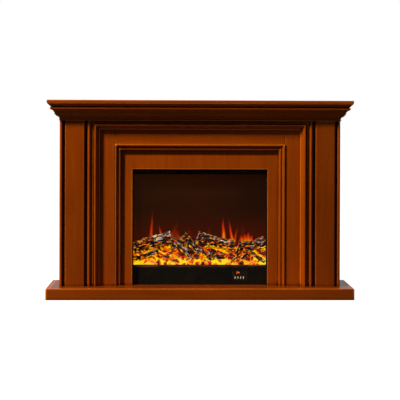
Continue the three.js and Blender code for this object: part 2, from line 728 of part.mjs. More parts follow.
// Logs in two lanes: the long ones at the back, the forked one in front of them.
function logs() {
  const half = caseInner - 16;
  const backLane = screenSetback - 0.29 * fireRun;
  const frontLane = trayFront + 0.3 * fireRun;
  const [stout, middling, slender] = [0.245 * fireRun, 0.2 * fireRun, 0.15 * fireRun];
  const floor = trayTop + 88;
  const left = logBetween(
    [-half, backLane, floor + 2],
    [-0.47 * half, backLane, floor + 60],
    stout,
    middling,
  );
  add(insert, "log_left", materials.log, left);
  const right = logBetween(
    [-0.04 * half, backLane, floor + 62],
    [0.68 * half, backLane, floor + 4],
    stout,
    middling,
  );
  add(insert, "log_right", materials.log, right);
  const farRight = logBetween(
    [0.8 * half, backLane + 2, floor + 6],
    [half, backLane + 2, floor + 40],
    slender,
    middling,
  );
  add(insert, "log_far_right", materials.log, farRight);
  const fork = new THREE.Vector3(-0.28 * half, frontLane, floor + 30);
  const trunk = logBetween(
    [fork.x + 96, frontLane, floor - 28],
    [fork.x - 4, frontLane, floor + 74],
    slender,
    slender,
  );
  const branch = logBetween(
    [fork.x + 46, frontLane, floor + 23],
    [fork.x - 84, frontLane, floor + 70],
    slender,
    0.8 * slender,
  );
  add(insert, "log_centre", materials.log, joined(trunk, branch));
}

// Flame rotor: a shaft with reflecting fins, turned by a geared motor, and its far bearing.
function flameDrive() {
  const [y, z] = [mechanismY, ROTOR_HEIGHT];
  const half = caseInner - ROTOR_END_SPACE;
  const finHalf = half - 14;
  const socket = MOTOR_SOCKET - 1;
  const shaft = turned(
    [
      [-half - 8, 0],
      [-half - 8, ROTOR_SHAFT],
      [half + socket, ROTOR_SHAFT],
      [half + socket, 0],
    ],
    12,
  );
  const parts = [shaft];
  const fins = Math.floor((2 * finHalf) / FIN_PITCH);
  for (let i = 0; i < fins; i++) {
    const x = (i - (fins - 1) / 2) * FIN_PITCH;
    const blade = new THREE.BoxGeometry(FIN_PITCH - 12, 1, 2 * ROTOR_RADIUS);
    const quarter = i % 2 === 0 ? 0 : Math.PI / 4;
    for (const turn of [quarter, quarter + Math.PI / 2]) {
      parts.push(blade.clone().rotateX(turn).translate(x, 0, 0));
    }
  }
  const rotor = add(insert, "flame_rotor", materials.foil, joined(...parts));
  rotor.position.set(0, y, z);

  const bore = ROTOR_SHAFT + SHAFT_CLEARANCE;
  const motorProfile = [
    [0, bore],
    [0, MOTOR_RADIUS],
    [MOTOR_LENGTH, MOTOR_RADIUS],
    [MOTOR_LENGTH, 0],
    [MOTOR_SOCKET, 0],
    [MOTOR_SOCKET, bore],
    [0, bore],
  ];
  const motor = add(insert, "rotor_motor", materials.zincSteel, turned(motorProfile, 24));
  motor.position.set(half, y, z);

  const plate = rectangle([-18, 18], [caseBottom + SHEET + GAP - z, 14]);
  plate.holes.push(disc(0, 0, bore));
  const bearing = new THREE.ExtrudeGeometry(plate, {
    depth: 3,
    bevelEnabled: false,
    curveSegments: 6,
  });
  bearing.rotateX(Math.PI / 2).rotateZ(Math.PI / 2);
  const bracket = add(insert, "rotor_bearing", materials.zincSteel, bearing);
  bracket.position.set(-half - 6, y, z);

  const lampHalf = caseInner - 36;
  const lampDepth = [lightDepth[0] + LAMP_MARGIN, lightDepth[1] - LAMP_MARGIN];
  const lampBottom = trayBottom - 18;
  const strips = [block([-lampHalf, lampHalf], lampDepth, [lampBottom, lampBottom + 1.6])];
  const lamps = 10;
  for (let i = 0; i < lamps; i++) {
    const x = (i - (lamps - 1) / 2) * ((2 * lampHalf) / lamps);
    const middle = (lampDepth[0] + lampDepth[1]) / 2;
    const height = [lampBottom + 1, lampBottom + 3.2];
    const lamp = LAMP_SIZE / 2;
    strips.push(block([x - lamp, x + lamp], [middle - lamp, middle + lamp], height));
  }
  add(insert, "lamp_board", materials.circuit, joined(...strips));
}

// Blower: a cross-flow wheel in a scroll, its motor, and the heating element in the duct.
function blower() {
  const [y, z] = [mechanismY, ductFloor - 4];
  const half = FAN_LENGTH / 2;
  const endDisc = (x) => {
    const points = [
      [x + 1.5, 0],
      [x + 1.5, FAN_RADIUS],
      [x - 1.5, FAN_RADIUS],
      [x - 1.5, 0],
    ];
    return turned(points, 24);
  };
  const shaft = turned(
    [
      [half + MOTOR_SOCKET + 3, 0],
      [half + MOTOR_SOCKET + 3, ROTOR_SHAFT],
      [-half - 6, ROTOR_SHAFT],
      [-half - 6, 0],
    ],
    12,
  );
  const parts = [shaft, endDisc(-half + 1.5), endDisc(0), endDisc(half - 1.5)];
  for (let i = 0; i < FAN_BLADES; i++) {
    const blade = new THREE.BoxGeometry(FAN_LENGTH - 3, 1, 8);
    blade.rotateX(0.5).translate(0, 0, FAN_RADIUS - 5);
    parts.push(blade.rotateX((i * 2 * Math.PI) / FAN_BLADES));
  }
  const wheel = add(insert, "fan_wheel", materials.blackPlastic, joined(...parts));
  wheel.position.set(0, y, z);

  const bore = ROTOR_SHAFT + SHAFT_CLEARANCE;
  const motorProfile = [
    [0, bore],
    [0, FAN_MOTOR_RADIUS - 4],
    [4, FAN_MOTOR_RADIUS],
    [FAN_MOTOR_LENGTH, FAN_MOTOR_RADIUS],
    [FAN_MOTOR_LENGTH, 0],
    [MOTOR_SOCKET + 2, 0],
    [MOTOR_SOCKET + 2, bore],
    [0, bore],
  ];
  const motor = add(insert, "fan_motor", materials.zincSteel, turned(motorProfile, 20));
  motor.position.set(half + 3, y, z);

  const [r, wall] = [SCROLL_RADIUS, SHEET];
  const mouth = y - screenSetback - SCREEN_THICKNESS - 1;
  const section = new THREE.Shape();
  section.moveTo(-mouth, r).lineTo(0, r).absarc(0, 0, r, Math.PI / 2, -0.4 * Math.PI, true);
  section.absarc(0, 0, r + wall, -0.4 * Math.PI, Math.PI / 2, false);
  section.lineTo(-mouth, r + wall).closePath();
  const scroll = strip(
    section,
    (u, t) => [-half - 4, u, t],
    (u, t) => [half + 1, u, t],
  );
  const housing = add(insert, "blower_housing", materials.zincSteel, scroll);
  housing.position.set(0, y, z);

  const fins = rectangle([-half, half], [ductFloor + SHEET + 2, caseTop - SHEET - 2]);
  const gaps = [];
  const cells = 20;
  const cell = FAN_LENGTH / cells;
  for (let i = 0; i < cells; i++) {
    const x = -half + (i + 0.5) * cell;
    const height = [ductFloor + SHEET + 5, caseTop - SHEET - 5];
    gaps.push(rectangle([x - cell / 2 + 1, x + cell / 2 - 1], height));
  }
  const heaterBack = screenSetback - 2;
  const element = pierced(fins, gaps, heaterBack - HEATER_DEPTH, heaterBack);
  add(insert, "heating_element", materials.heater, element);
}

plinth();
columns();
flatFrame();
openingPanel();
plantedMoulding(
  "outer_moulding",
  outerMouldingSection(),
  outerMouldingInner,
  outerMouldingTop,
  boardFront,
);
plantedMoulding(
  "inner_moulding",
  innerMouldingSection(),
  innerMouldingInner,
  innerMouldingTop,
  boardBack + GAP,
);
crownAndShelf();
insertCase();
cordGland();
insertFront();
controls();
firebox();
logs();
flameDrive();
blower();

export default fireplace;
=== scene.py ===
import json
import math

import bmesh
import bpy
from mathutils import Matrix, Vector, noise


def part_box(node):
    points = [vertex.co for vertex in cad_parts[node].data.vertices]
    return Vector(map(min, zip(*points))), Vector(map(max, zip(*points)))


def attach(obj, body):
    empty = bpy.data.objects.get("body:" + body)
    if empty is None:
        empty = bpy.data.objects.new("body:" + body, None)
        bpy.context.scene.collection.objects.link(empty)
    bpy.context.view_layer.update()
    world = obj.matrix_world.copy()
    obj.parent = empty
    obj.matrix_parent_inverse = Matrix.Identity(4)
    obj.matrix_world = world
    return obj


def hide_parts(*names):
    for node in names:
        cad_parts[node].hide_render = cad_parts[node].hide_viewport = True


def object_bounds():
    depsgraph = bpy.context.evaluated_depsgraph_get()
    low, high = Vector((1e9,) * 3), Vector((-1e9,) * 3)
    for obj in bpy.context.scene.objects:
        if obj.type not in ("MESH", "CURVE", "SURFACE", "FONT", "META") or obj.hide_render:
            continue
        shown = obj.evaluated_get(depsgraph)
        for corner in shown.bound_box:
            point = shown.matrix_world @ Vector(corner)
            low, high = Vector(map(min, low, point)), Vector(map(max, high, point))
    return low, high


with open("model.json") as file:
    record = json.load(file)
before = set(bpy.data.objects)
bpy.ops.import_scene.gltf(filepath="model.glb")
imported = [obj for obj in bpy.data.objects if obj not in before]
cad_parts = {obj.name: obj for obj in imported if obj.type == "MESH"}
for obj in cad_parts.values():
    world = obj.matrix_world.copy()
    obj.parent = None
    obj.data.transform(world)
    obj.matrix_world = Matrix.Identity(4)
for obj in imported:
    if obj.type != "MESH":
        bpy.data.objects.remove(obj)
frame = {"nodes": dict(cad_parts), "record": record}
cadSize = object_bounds()
cadNodes = frame["nodes"]
objectLow = Vector(cadSize[0])
print("frame loaded:", len(cadNodes), "nodes")


# camera, floor and lights

cameraSet = {
    "distance": 5.33,        # from the plinth's front
    "sideways": -0.126,
    "height": 0.8055,
    "lens": 99.05,
    "turn": -1.31,           # degrees, towards the middle of the fireplace
    "roll": 0.19,
    "rise": -0.165,          # lens shift, keeps the uprights upright
}

lightSet = {
    "key": {"at": (-3.9, -2.2, 4.8), "aim": (0.0, 0.0, 0.5), "size": 0.7, "power": 745.0,
            "tint": (1.0, 0.95, 0.86)},
    "fill": {"at": (2.6, -5.0, 1.6), "aim": (0.0, 0.0, 0.5), "size": 2.6, "power": 9.0,
             "tint": (1.0, 0.95, 0.88)},
    "fire": {"at": (0.0, 0.012, 0.54), "aim": (0.0, 0.046, 0.20), "size": 0.60, "depth": 0.012,
             "power": 0.75, "tint": (0.92, 0.97, 1.0)},
    "roomFront": 0.02,       # light from the dark half of the room, before the fireplace
    "roomBack": 0.40,        # light from the bright half, behind it
    "roomTurn": (-0.05, 0.60),      # where one passes into the other
}

floorSet = {"size": 60.0, "drop": 0.0005, "glow": 0.98, "seen": 0.16, "bounce": 0.06}


def lookMatrix(place, aim):
    turn = (Vector(aim) - Vector(place)).to_track_quat("-Z", "Y")
    return Matrix.Translation(place) @ turn.to_matrix().to_4x4()


def makeCamera(s):
    data = bpy.data.cameras.new("viewCamera")
    data.lens = s["lens"]
    data.shift_y = s["rise"]
    data.clip_end = 100
    camera = bpy.data.objects.new("viewCamera", data)
    bpy.context.scene.collection.objects.link(camera)
    place = Matrix.Translation((s["sideways"], objectLow.y - s["distance"], s["height"]))
    turn = Matrix.Rotation(math.radians(s["turn"]), 4, "Z")
    upright = Matrix.Rotation(math.radians(90), 4, "X")
    roll = Matrix.Rotation(math.radians(s["roll"]), 4, "Z")
    camera.matrix_world = place @ turn @ upright @ roll
    bpy.context.scene.camera = camera


def makeLight(name, s):
    data = bpy.data.lights.new(name, "AREA")
    data.shape = "ELLIPSE"
    data.size, data.size_y = s["size"], s.get("depth", s["size"])
    data.energy = s["power"]
    data.color = s["tint"]
    light = bpy.data.objects.new(name, data)
    bpy.context.scene.collection.objects.link(light)
    light.matrix_world = lookMatrix(s["at"], s["aim"])
    light.visible_camera = False


# node helpers

def addNode(tree, kind, inputs=None, **settings):    # inputs by name or number
    node = tree.nodes.new(kind)
    for name, value in settings.items():
        setattr(node, name, value)
    for name, value in (inputs or {}).items():
        feed(tree, node.inputs[name], value)
    return node


def feed(tree, socket, value):     # a socket is linked, a plain value is set
    if isinstance(value, bpy.types.NodeSocket):
        tree.links.new(value, socket)
    elif socket.type == "RGBA":
        shade = value if isinstance(value, (tuple, list)) else (value, value, value)
        socket.default_value = (*shade, 1.0)
    else:
        socket.default_value = value


def newMaterial(name, **shaderValues):     # socket names with _ for each space
    material = bpy.data.materials.new(name)
    material.use_nodes = True
    tree = material.node_tree
    for socketName, value in shaderValues.items():
        feed(tree, tree.nodes["Principled BSDF"].inputs[socketName.replace("_", " ")], value)
    return material, tree


def coated(material, **sockets):           # links the sockets and hands the material back
    tree = material.node_tree
    for socketName, value in sockets.items():
        feed(tree, tree.nodes["Principled BSDF"].inputs[socketName.replace("_", " ")], value)
    return material


def objectPlace(tree, scale=(1, 1, 1)):
    return placed(tree, addNode(tree, "ShaderNodeTexCoord").outputs["Object"], scale)


def placed(tree, vector, scale):
    return addNode(tree, "ShaderNodeMapping",
                   {"Scale": scale, "Vector": vector}).outputs["Vector"]


def noiseOf(tree, vector, scale=1.0, detail=4.0, rough=0.5, warp=0.0):
    return addNode(tree, "ShaderNodeTexNoise", {
        "Vector": vector, "Scale": scale, "Detail": detail, "Roughness": rough,
        "Distortion": warp}).outputs["Fac"]


def cellsOf(tree, vector, scale=1.0, feature="F1", output="Distance"):
    return addNode(tree, "ShaderNodeTexVoronoi", {"Vector": vector, "Scale": scale},
                   feature=feature).outputs[output]


def rampOf(tree, value, stops):    # stops are (place, colour) or (place, grey)
    node = addNode(tree, "ShaderNodeValToRGB")
    tree.links.new(value, node.inputs["Fac"])
    band = node.color_ramp.elements
    for end in (1, 0):             # the two ends first, then those between in order
        band[end].position = stops[-end][0]
    for at, _ in stops[1:-1]:
        band.new(at)
    for element, (at, colour) in zip(band, stops):
        shade = colour if isinstance(colour, tuple) else (colour, colour, colour)
        element.color = (*shade, 1.0)
    return node.outputs["Color"]


def mixOf(tree, share, a, b, blend="MIX"):
    return addNode(tree, "ShaderNodeMix", {0: share, 6: a, 7: b}, data_type="RGBA",
                   blend_type=blend).outputs[2]


def toned(tree, share, colour, value, stops):     # colour darkened or lifted by a pattern
    return mixOf(tree, share, colour, rampOf(tree, value, stops), "MULTIPLY")


def twoTone(tree, value, low, high):       # from one tone to another over a noise
    return rampOf(tree, value, [(0.3, low), (0.7, high)])


def mathOf(tree, operation, a, b=0.0, clamp=False):
    return addNode(tree, "ShaderNodeMath", {0: a, 1: b}, operation=operation,
                   use_clamp=clamp).outputs[0]


def plus(tree, value, extra, share=1.0, about=0.0, clamp=False):    # value + share (extra - about)
    if about:
        extra = mathOf(tree, "SUBTRACT", extra, about)
    if share != 1.0:
        extra = mathOf(tree, "MULTIPLY", extra, share)
    return mathOf(tree, "ADD", value, extra, clamp)


def rangeOf(tree, value, low, high, toLow=0.0, toHigh=1.0):
    return addNode(tree, "ShaderNodeMapRange", {
        "Value": value, "From Min": low, "From Max": high, "To Min": toLow,
        "To Max": toHigh}).outputs["Result"]


def roughOf(tree, value, low, high):       # roughness that follows a noise
    return rangeOf(tree, value, 0.3, 0.7, low, high)


def bumpOf(tree, height, strength, distance):
    return addNode(tree, "ShaderNodeBump", {
        "Strength": strength, "Distance": distance, "Height": height}).outputs["Normal"]


def hollowOf(tree, distance, inside=False):    # ambient occlusion, 1 in the open
    return addNode(tree, "ShaderNodeAmbientOcclusion", {"Distance": distance}, samples=8,
                   inside=inside, only_local=inside).outputs["AO"]


def splitOf(tree, vector):                 # its X, Y and Z
    return addNode(tree, "ShaderNodeSeparateXYZ", {"Vector": vector}).outputs


def attributeOf(tree, name, output="Fac"):
    return addNode(tree, "ShaderNodeAttribute", attribute_name=name).outputs[output]


def makeWorld(s):
    world = bpy.data.worlds.new("studio")
    world.use_nodes = True
    bpy.context.scene.world = world
    tree = world.node_tree
    outward = splitOf(tree, addNode(tree, "ShaderNodeTexCoord").outputs["Generated"])
    room = rangeOf(tree, outward["Y"], *s["roomTurn"], s["roomFront"], s["roomBack"])
    seen = addNode(tree, "ShaderNodeLightPath").outputs["Is Camera Ray"]
    strength = addNode(tree, "ShaderNodeMix", {"Factor": seen, "A": room, "B": 1.0})
    background = tree.nodes["Background"]
    feed(tree, background.inputs["Strength"], strength.outputs["Result"])
    feed(tree, background.inputs["Color"], 1.0)


def makeFloor(s):
    bpy.ops.mesh.primitive_plane_add(size=s["size"], location=(0, 0, -s["drop"]))
    floor = bpy.context.object
    floor.name = "floor"
    material, tree = newMaterial("paleFloor", Roughness=0.9, Specular_IOR_Level=0.0,
                                 Emission_Color=1.0)
    path = addNode(tree, "ShaderNodeLightPath").outputs["Is Camera Ray"]
    seen = rangeOf(tree, path, 0.0, 1.0, s["bounce"], s["seen"])
    speck = noiseOf(tree, objectPlace(tree), 60.0, 2.0)
    floor.data.materials.append(coated(
        material, Base_Color=toned(tree, 1.0, seen, speck, [(0.3, 0.97), (0.7, 1.0)]),
        Emission_Strength=rangeOf(tree, path, 0.0, 1.0, 0.0, s["glow"])))


makeCamera(cameraSet)
makeLight("keyLight", lightSet["key"])
makeLight("fillLight", lightSet["fill"])
makeLight("fireLamp", lightSet["fire"])
makeWorld(lightSet)
makeFloor(floorSet)
bpy.context.scene.view_settings.view_transform = "Standard"
print("camera, floor and lights made")


# finishes

woodSet = {
    "grainAlong": 2.4, "grainAcross": 38.0,     # lower is longer or wider
    "poreAlong": 26.0, "poreAcross": 520.0,
    "dark": (0.238, 0.0335, 0.0005),
    "light": (0.302, 0.0490, 0.0008),
    "grooveShade": (0.008, 0.0004, 0.0001),           # painted shade, dark in the grooves
    "wornEdgeHighlight": (0.980, 0.2250, 0.0100),           # lacquer rubbed thin on the edges, and a painted highlight there
    "raw": (0.40, 0.26, 0.14),                  # unfinished backs and inner faces
    "rawFrom": -0.012,
    "grooveReach": 0.022, "edgeReach": 0.0050,
    "gloss": (0.21, 0.33),
}


def lacquer(grainAxis, board, depth):
    s = woodSet
    material, tree = newMaterial(
        "lacquer" + grainAxis + board, Specular_IOR_Level=0.8,
        Specular_Tint=(1.0, 0.42, 0.07), Coat_Weight=0.10, Coat_Roughness=0.10, Coat_IOR=1.5)

    def alongGrain(across, along):
        scale = [s[across]] * 3
        scale["XYZ".index(grainAxis)] = s[along]
        return objectPlace(tree, scale)

    grain = noiseOf(tree, alongGrain("grainAcross", "grainAlong"), 1.0, 5.0, 0.55, 0.7)
    pores = noiseOf(tree, alongGrain("poreAcross", "poreAlong"), 1.0, 2.0, 0.6)
    broad = noiseOf(tree, objectPlace(tree), 3.1, 2.0, 0.5)
    dark, light = (tuple(c * depth for c in s[end]) for end in ("dark", "light"))
    colour = twoTone(tree, grain, dark, light)
    colour = toned(tree, 0.34, colour, pores, [(0.30, 0.60), (0.46, 1.0)])
    colour = toned(tree, 0.8, colour, broad, [(0.30, 0.84), (0.70, 1.06)])
    # convex edges lighten: partly lacquer worn thin, partly a painted highlight
    edges = rangeOf(tree, hollowOf(tree, s["edgeReach"], inside=True), 0.92, 0.50)
    wornAndHighlit = mathOf(tree, "MULTIPLY", edges, rangeOf(tree, broad, 0.2, 0.7, 0.55, 0.95))
    colour = mixOf(tree, wornAndHighlit, colour, s["wornEdgeHighlight"])
    # painted shade: grooves and hollows darken towards near black
    shadedGrooves = rangeOf(tree, hollowOf(tree, s["grooveReach"]), 0.84, 0.40)
    colour = mixOf(tree, shadedGrooves, colour, s["grooveShade"])
    # backs, and the faces that look inwards behind the front, stay unfinished
    normal = splitOf(tree, addNode(tree, "ShaderNodeNewGeometry").outputs["True Normal"])
    place = splitOf(tree, objectPlace(tree))
    inward = rangeOf(tree, mathOf(tree, "MULTIPLY", normal["X"], place["X"]), -0.30, -0.50)
    inward = mathOf(tree, "MULTIPLY", inward,
                    rangeOf(tree, place["Y"], s["rawFrom"], s["rawFrom"] + 0.002))
    unfinished = mathOf(tree, "MAXIMUM", inward, rangeOf(tree, normal["Y"], 0.75, 0.9))
    chips = noiseOf(tree, objectPlace(tree), 260.0, 3.0, 0.7)
    rawTone = toned(tree, 1.0, s["raw"], chips, [(0.35, 0.72), (0.65, 1.08)])
    gloss = roughOf(tree, pores, s["gloss"][1], s["gloss"][0])
    return coated(material, Base_Color=mixOf(tree, unfinished, colour, rawTone),
                  Roughness=mixOf(tree, unfinished, gloss, 0.85),
                  Normal=bumpOf(tree, plus(tree, pores, grain, 0.6), 0.10, 0.0003))


def rawBoard():
    material, tree = newMaterial("rawBoard", Specular_IOR_Level=0.2)
    chips = cellsOf(tree, objectPlace(tree, (1, 1, 2.6)), 210.0, "F1", "Color")
    fibre = noiseOf(tree, objectPlace(tree), 420.0, 4.0, 0.7)
    colour = mixOf(tree, 0.28, woodSet["raw"], chips, "OVERLAY")
    colour = toned(tree, 0.7, colour, fibre, [(0.35, 0.7), (0.65, 1.05)])
    # painted shade: darker in the hollows that the occlusion finds
    dustAndHollowShade = rangeOf(tree, hollowOf(tree, 0.03), 0.8, 0.2)
    return coated(material, Base_Color=mixOf(tree, dustAndHollowShade, colour, (0.12, 0.075, 0.04)),
                  Roughness=roughOf(tree, fibre, 0.75, 0.95),
                  Normal=bumpOf(tree, fibre, 0.3, 0.0004))


def zincSheet():
    material, tree = newMaterial("zincSheet", Metallic=1.0)
    place = objectPlace(tree)
    spangle = cellsOf(tree, place, 75.0, "F1", "Color")
    grey = addNode(tree, "ShaderNodeRGBToBW", {"Color": spangle}).outputs["Val"]
    smear = noiseOf(tree, place, 9.0, 5.0, 0.6, 0.8)
    tone = rampOf(tree, grey, [(0.2, (0.40, 0.42, 0.43)), (0.8, (0.56, 0.58, 0.59))])
    tone = toned(tree, 0.7, tone, smear, [(0.3, 0.8), (0.7, 1.05)])
    # painted shade: darker in the hollows that the occlusion finds
    dustAndHollowShade = rangeOf(tree, hollowOf(tree, 0.02), 0.8, 0.2)
    scratches = noiseOf(tree, objectPlace(tree, (14, 14, 900)), 1.0, 3.0, 0.6)
    return coated(material, Base_Color=mixOf(tree, dustAndHollowShade, tone, (0.14, 0.14, 0.135)),
                  Roughness=rangeOf(tree, grey, 0.2, 0.8, 0.30, 0.46),
                  Normal=bumpOf(tree, scratches, 0.08, 0.0002))


def powderCoat(name, shine, rough):
    material, tree = newMaterial(name, Specular_IOR_Level=shine)
    place = objectPlace(tree)
    orange = noiseOf(tree, place, 1400.0, 2.0, 0.6)
    dustAndHollowShade = noiseOf(tree, place, 16.0, 5.0, 0.65, 0.5)
    colour = rampOf(tree, dustAndHollowShade, [(0.35, (0.0042, 0.0036, 0.0024)),
                                 (0.75, (0.0085, 0.0070, 0.0050))])
    edges = rangeOf(tree, hollowOf(tree, 0.0015, inside=True), 0.9, 0.5, 0.0, 0.5)
    return coated(material, Base_Color=mixOf(tree, edges, colour, (0.028, 0.024, 0.018)),
                  Roughness=roughOf(tree, dustAndHollowShade, rough, rough + 0.16),
                  Normal=bumpOf(tree, orange, 0.14, 0.0002))


def emberReflectionLip():                  # dark enamel with a painted reflection of the embers' glow, as emission
    material, tree = newMaterial("emberReflectionLip", Specular_IOR_Level=0.3, Emission_Strength=1.0)
    streaks = noiseOf(tree, objectPlace(tree, (16, 60, 170)), 1.0, 3.0, 0.6)
    # painted reflection: streaks of ember glow
    glow = rampOf(tree, streaks, [(0.40, (0.004, 0.002, 0.002)), (0.50, (0.050, 0.014, 0.014)),
                                  (0.62, (0.190, 0.050, 0.020))])
    return coated(
        material, Emission_Color=glow, Roughness=roughOf(tree, streaks, 0.2, 0.4),
        Base_Color=twoTone(tree, streaks, (0.006, 0.005, 0.004), (0.020, 0.010, 0.007)))


def mouldedPlastic(name, tone, gloss, texture):
    material, tree = newMaterial(name, Specular_IOR_Level=0.45)
    place = objectPlace(tree)
    speck = noiseOf(tree, place, texture, 3.0, 0.6)
    wipe = noiseOf(tree, place, 34.0, 4.0, 0.6, 0.4)
    lighter = tuple(c * 1.9 for c in tone)
    return coated(material, Base_Color=rampOf(tree, wipe, [(0.35, tone), (0.8, lighter)]),
                  Roughness=roughOf(tree, wipe, gloss, gloss + 0.12),
                  Normal=bumpOf(tree, speck, 0.12, 0.0002))


def smokedGlass():
    material, tree = newMaterial("smokedGlass", Alpha=0.24, Specular_IOR_Level=0.12, IOR=1.5)
    smudge = noiseOf(tree, objectPlace(tree, (5, 5, 9)), 1.0, 5.0, 0.6, 0.9)
    return coated(
        material, Roughness=roughOf(tree, smudge, 0.03, 0.09),
        Base_Color=twoTone(tree, smudge, (0.010, 0.004, 0.002), (0.014, 0.006, 0.003)))


def circuitBoard():
    material, tree = newMaterial("circuitBoard", Specular_IOR_Level=0.5)
    cells = addNode(tree, "ShaderNodeTexVoronoi", {
        "Vector": objectPlace(tree, (170, 170, 170)), "Scale": 1.0}, distance="CHEBYCHEV")
    lines = mathOf(tree, "PINGPONG", cells.outputs["Distance"], 0.09)
    traces = rangeOf(tree, lines, 0.03, 0.06)
    return coated(
        material, Base_Color=mixOf(tree, traces, (0.008, 0.060, 0.022), (0.03, 0.17, 0.06)),
        Roughness=rangeOf(tree, traces, 0.0, 1.0, 0.5, 0.3),
        Normal=bumpOf(tree, traces, 0.2, 0.0002))


def crinkledFoil():
    material, tree = newMaterial("crinkledFoil", Metallic=1.0)
    place = objectPlace(tree)
    creases = cellsOf(tree, place, 130.0, "DISTANCE_TO_EDGE")
    ripple = noiseOf(tree, place, 210.0, 4.0, 0.7, 1.2)
    return coated(
        material, Base_Color=twoTone(tree, ripple, (0.62, 0.63, 0.64), (0.82, 0.83, 0.84)),
        Roughness=roughOf(tree, ripple, 0.08, 0.2),
        Normal=bumpOf(tree, plus(tree, creases, ripple), 0.6, 0.001))


def heaterFins():
    material, tree = newMaterial("heaterFins", Metallic=0.9)
    brushed = noiseOf(tree, objectPlace(tree, (30, 900, 900)), 1.0, 3.0, 0.6)
    stain = rangeOf(tree, noiseOf(tree, objectPlace(tree), 22.0, 3.0, 0.6), 0.4, 0.7)
    colour = mixOf(tree, stain, (0.50, 0.49, 0.47), (0.42, 0.34, 0.24))
    return coated(
        material, Base_Color=toned(tree, 0.5, colour, brushed, [(0.3, 0.75), (0.7, 1.0)]),
        Roughness=roughOf(tree, brushed, 0.3, 0.5))


def screenPlastic():
    material, tree = newMaterial("screenPlastic", Specular_IOR_Level=0.0,
                                 Emission_Strength=1.0)
    haze = noiseOf(tree, objectPlace(tree), 7.0, 3.0, 0.5)
    grain = noiseOf(tree, objectPlace(tree), 900.0, 2.0, 0.5)
    return coated(
        material, Base_Color=twoTone(tree, haze, (0.010, 0.003, 0.001), (0.016, 0.005, 0.002)),
        Emission_Color=twoTone(tree, haze, (0.026, 0.0055, 0.0012), (0.036, 0.0065, 0.0014)),
        Roughness=roughOf(tree, grain, 0.4, 0.55), Normal=bumpOf(tree, grain, 0.15, 0.0002))


def displayLens():
    material, tree = newMaterial("displayLens", Specular_IOR_Level=0.4, Emission_Strength=1.0)
    cloud = noiseOf(tree, objectPlace(tree), 120.0, 3.0, 0.5)
    return coated(
        material, Base_Color=twoTone(tree, cloud, (0.006, 0.002, 0.001), (0.011, 0.003, 0.001)),
        Emission_Color=twoTone(tree, cloud, (0.003, 0.0006, 0.0), (0.008, 0.0012, 0.0001)),
        Roughness=roughOf(tree, cloud, 0.10, 0.16))


def litPrintAndGlint(name, tone, strength):     # lit digits, and the painted glints on the buttons
    material, tree = newMaterial(name, Emission_Strength=strength)
    grain = noiseOf(tree, objectPlace(tree), 1500.0, 2.0, 0.5)
    shade = twoTone(tree, grain, tuple(c * 0.8 for c in tone), tone)
    return coated(material, Base_Color=shade, Emission_Color=shade,
                  Roughness=roughOf(tree, grain, 0.3, 0.4))


# how bright each board's lacquer is made
boardBrightness = {"Frame": 1.10, "Pilaster": 0.84, "Plinth": 0.62, "Plain": 1.0}     # times woodSet's
lacquers = {(axis, board): lacquer(axis, board, depth)
            for axis in "XYZ" for board, depth in boardBrightness.items()}
finishes = {
    "raw_board": rawBoard(),
    "zinc_steel": zincSheet(),
    "black_steel": powderCoat("powderCoat", 0.14, 0.34),
    "black_gloss": powderCoat("glossEnamel", 0.30, 0.14),
    "tray_lip": emberReflectionLip(),
    "tinted_glass": smokedGlass(),
    "black_plastic": mouldedPlastic("blackPlastic", (0.0045, 0.0040, 0.0032), 0.34, 900.0),
    "button_plastic": mouldedPlastic("glossButton", (0.0060, 0.0052, 0.0045), 0.12, 300.0),
    "circuit_board": circuitBoard(),
    "reflector_foil": crinkledFoil(),
    "heater_alloy": heaterFins(),
    "flame_screen": screenPlastic(),
    "display": displayLens(),
}
print("finishes made")


# CAD nodes: finish, eased edges and smooth curves

edgeSet = {
    "merge": 0.00001, "sharpAngle": 32.0,
    "wood": 0.0009, "moulding": 0.0005, "metal": 0.0004, "plastic": 0.0003,
}

grainByNode = {
    "X": ("plinth_front", "plinth_top", "header_rail", "outer_moulding_top",
          "inner_moulding_top", "crown_front", "mantel_shelf"),
    "Y": ("plinth_left", "plinth_right", "crown_left", "crown_right"),
}
ownFinish = {"lower_fascia": "black_gloss", "ember_tray": "tray_lip"}
frameBoards = ("stile_left", "stile_right", "header_rail", "opening_panel")


def groupOf(name, given):          # a geometry tree with a named input for each value given
    tree = bpy.data.node_groups.new(name, "GeometryNodeTree")
    face = tree.interface
    face.new_socket(name="Geometry", in_out="INPUT", socket_type="NodeSocketGeometry")
    for label, value in given.items():
        kind = "NodeSocketInt" if isinstance(value, int) else "NodeSocketFloat"
        face.new_socket(name=label, in_out="INPUT", socket_type=kind).default_value = value
    face.new_socket(name="Geometry", in_out="OUTPUT", socket_type="NodeSocketGeometry")
    return tree, addNode(tree, "NodeGroupInput").outputs


def smoothByAngle(angle):
    tree, given = groupOf("smoothByAngle", {"Sharp Angle": angle})
    smooth = addNode(tree, "GeometryNodeSetShadeSmooth", {"Geometry": given["Geometry"]},
                     domain="FACE")
    bend = addNode(tree, "GeometryNodeInputMeshEdgeAngle").outputs["Unsigned Angle"]
    over = addNode(tree, "FunctionNodeCompare", {0: bend, 1: given["Sharp Angle"]},
                   data_type="FLOAT", operation="GREATER_THAN")
    crease = addNode(tree, "GeometryNodeSetShadeSmooth", {
        "Geometry": smooth.outputs["Geometry"], "Selection": over.outputs["Result"],
        "Shade Smooth": False}, domain="EDGE")
    addNode(tree, "NodeGroupOutput", {"Geometry": crease.outputs["Geometry"]})
    return tree


smoothTree = smoothByAngle(math.radians(edgeSet["sharpAngle"]))


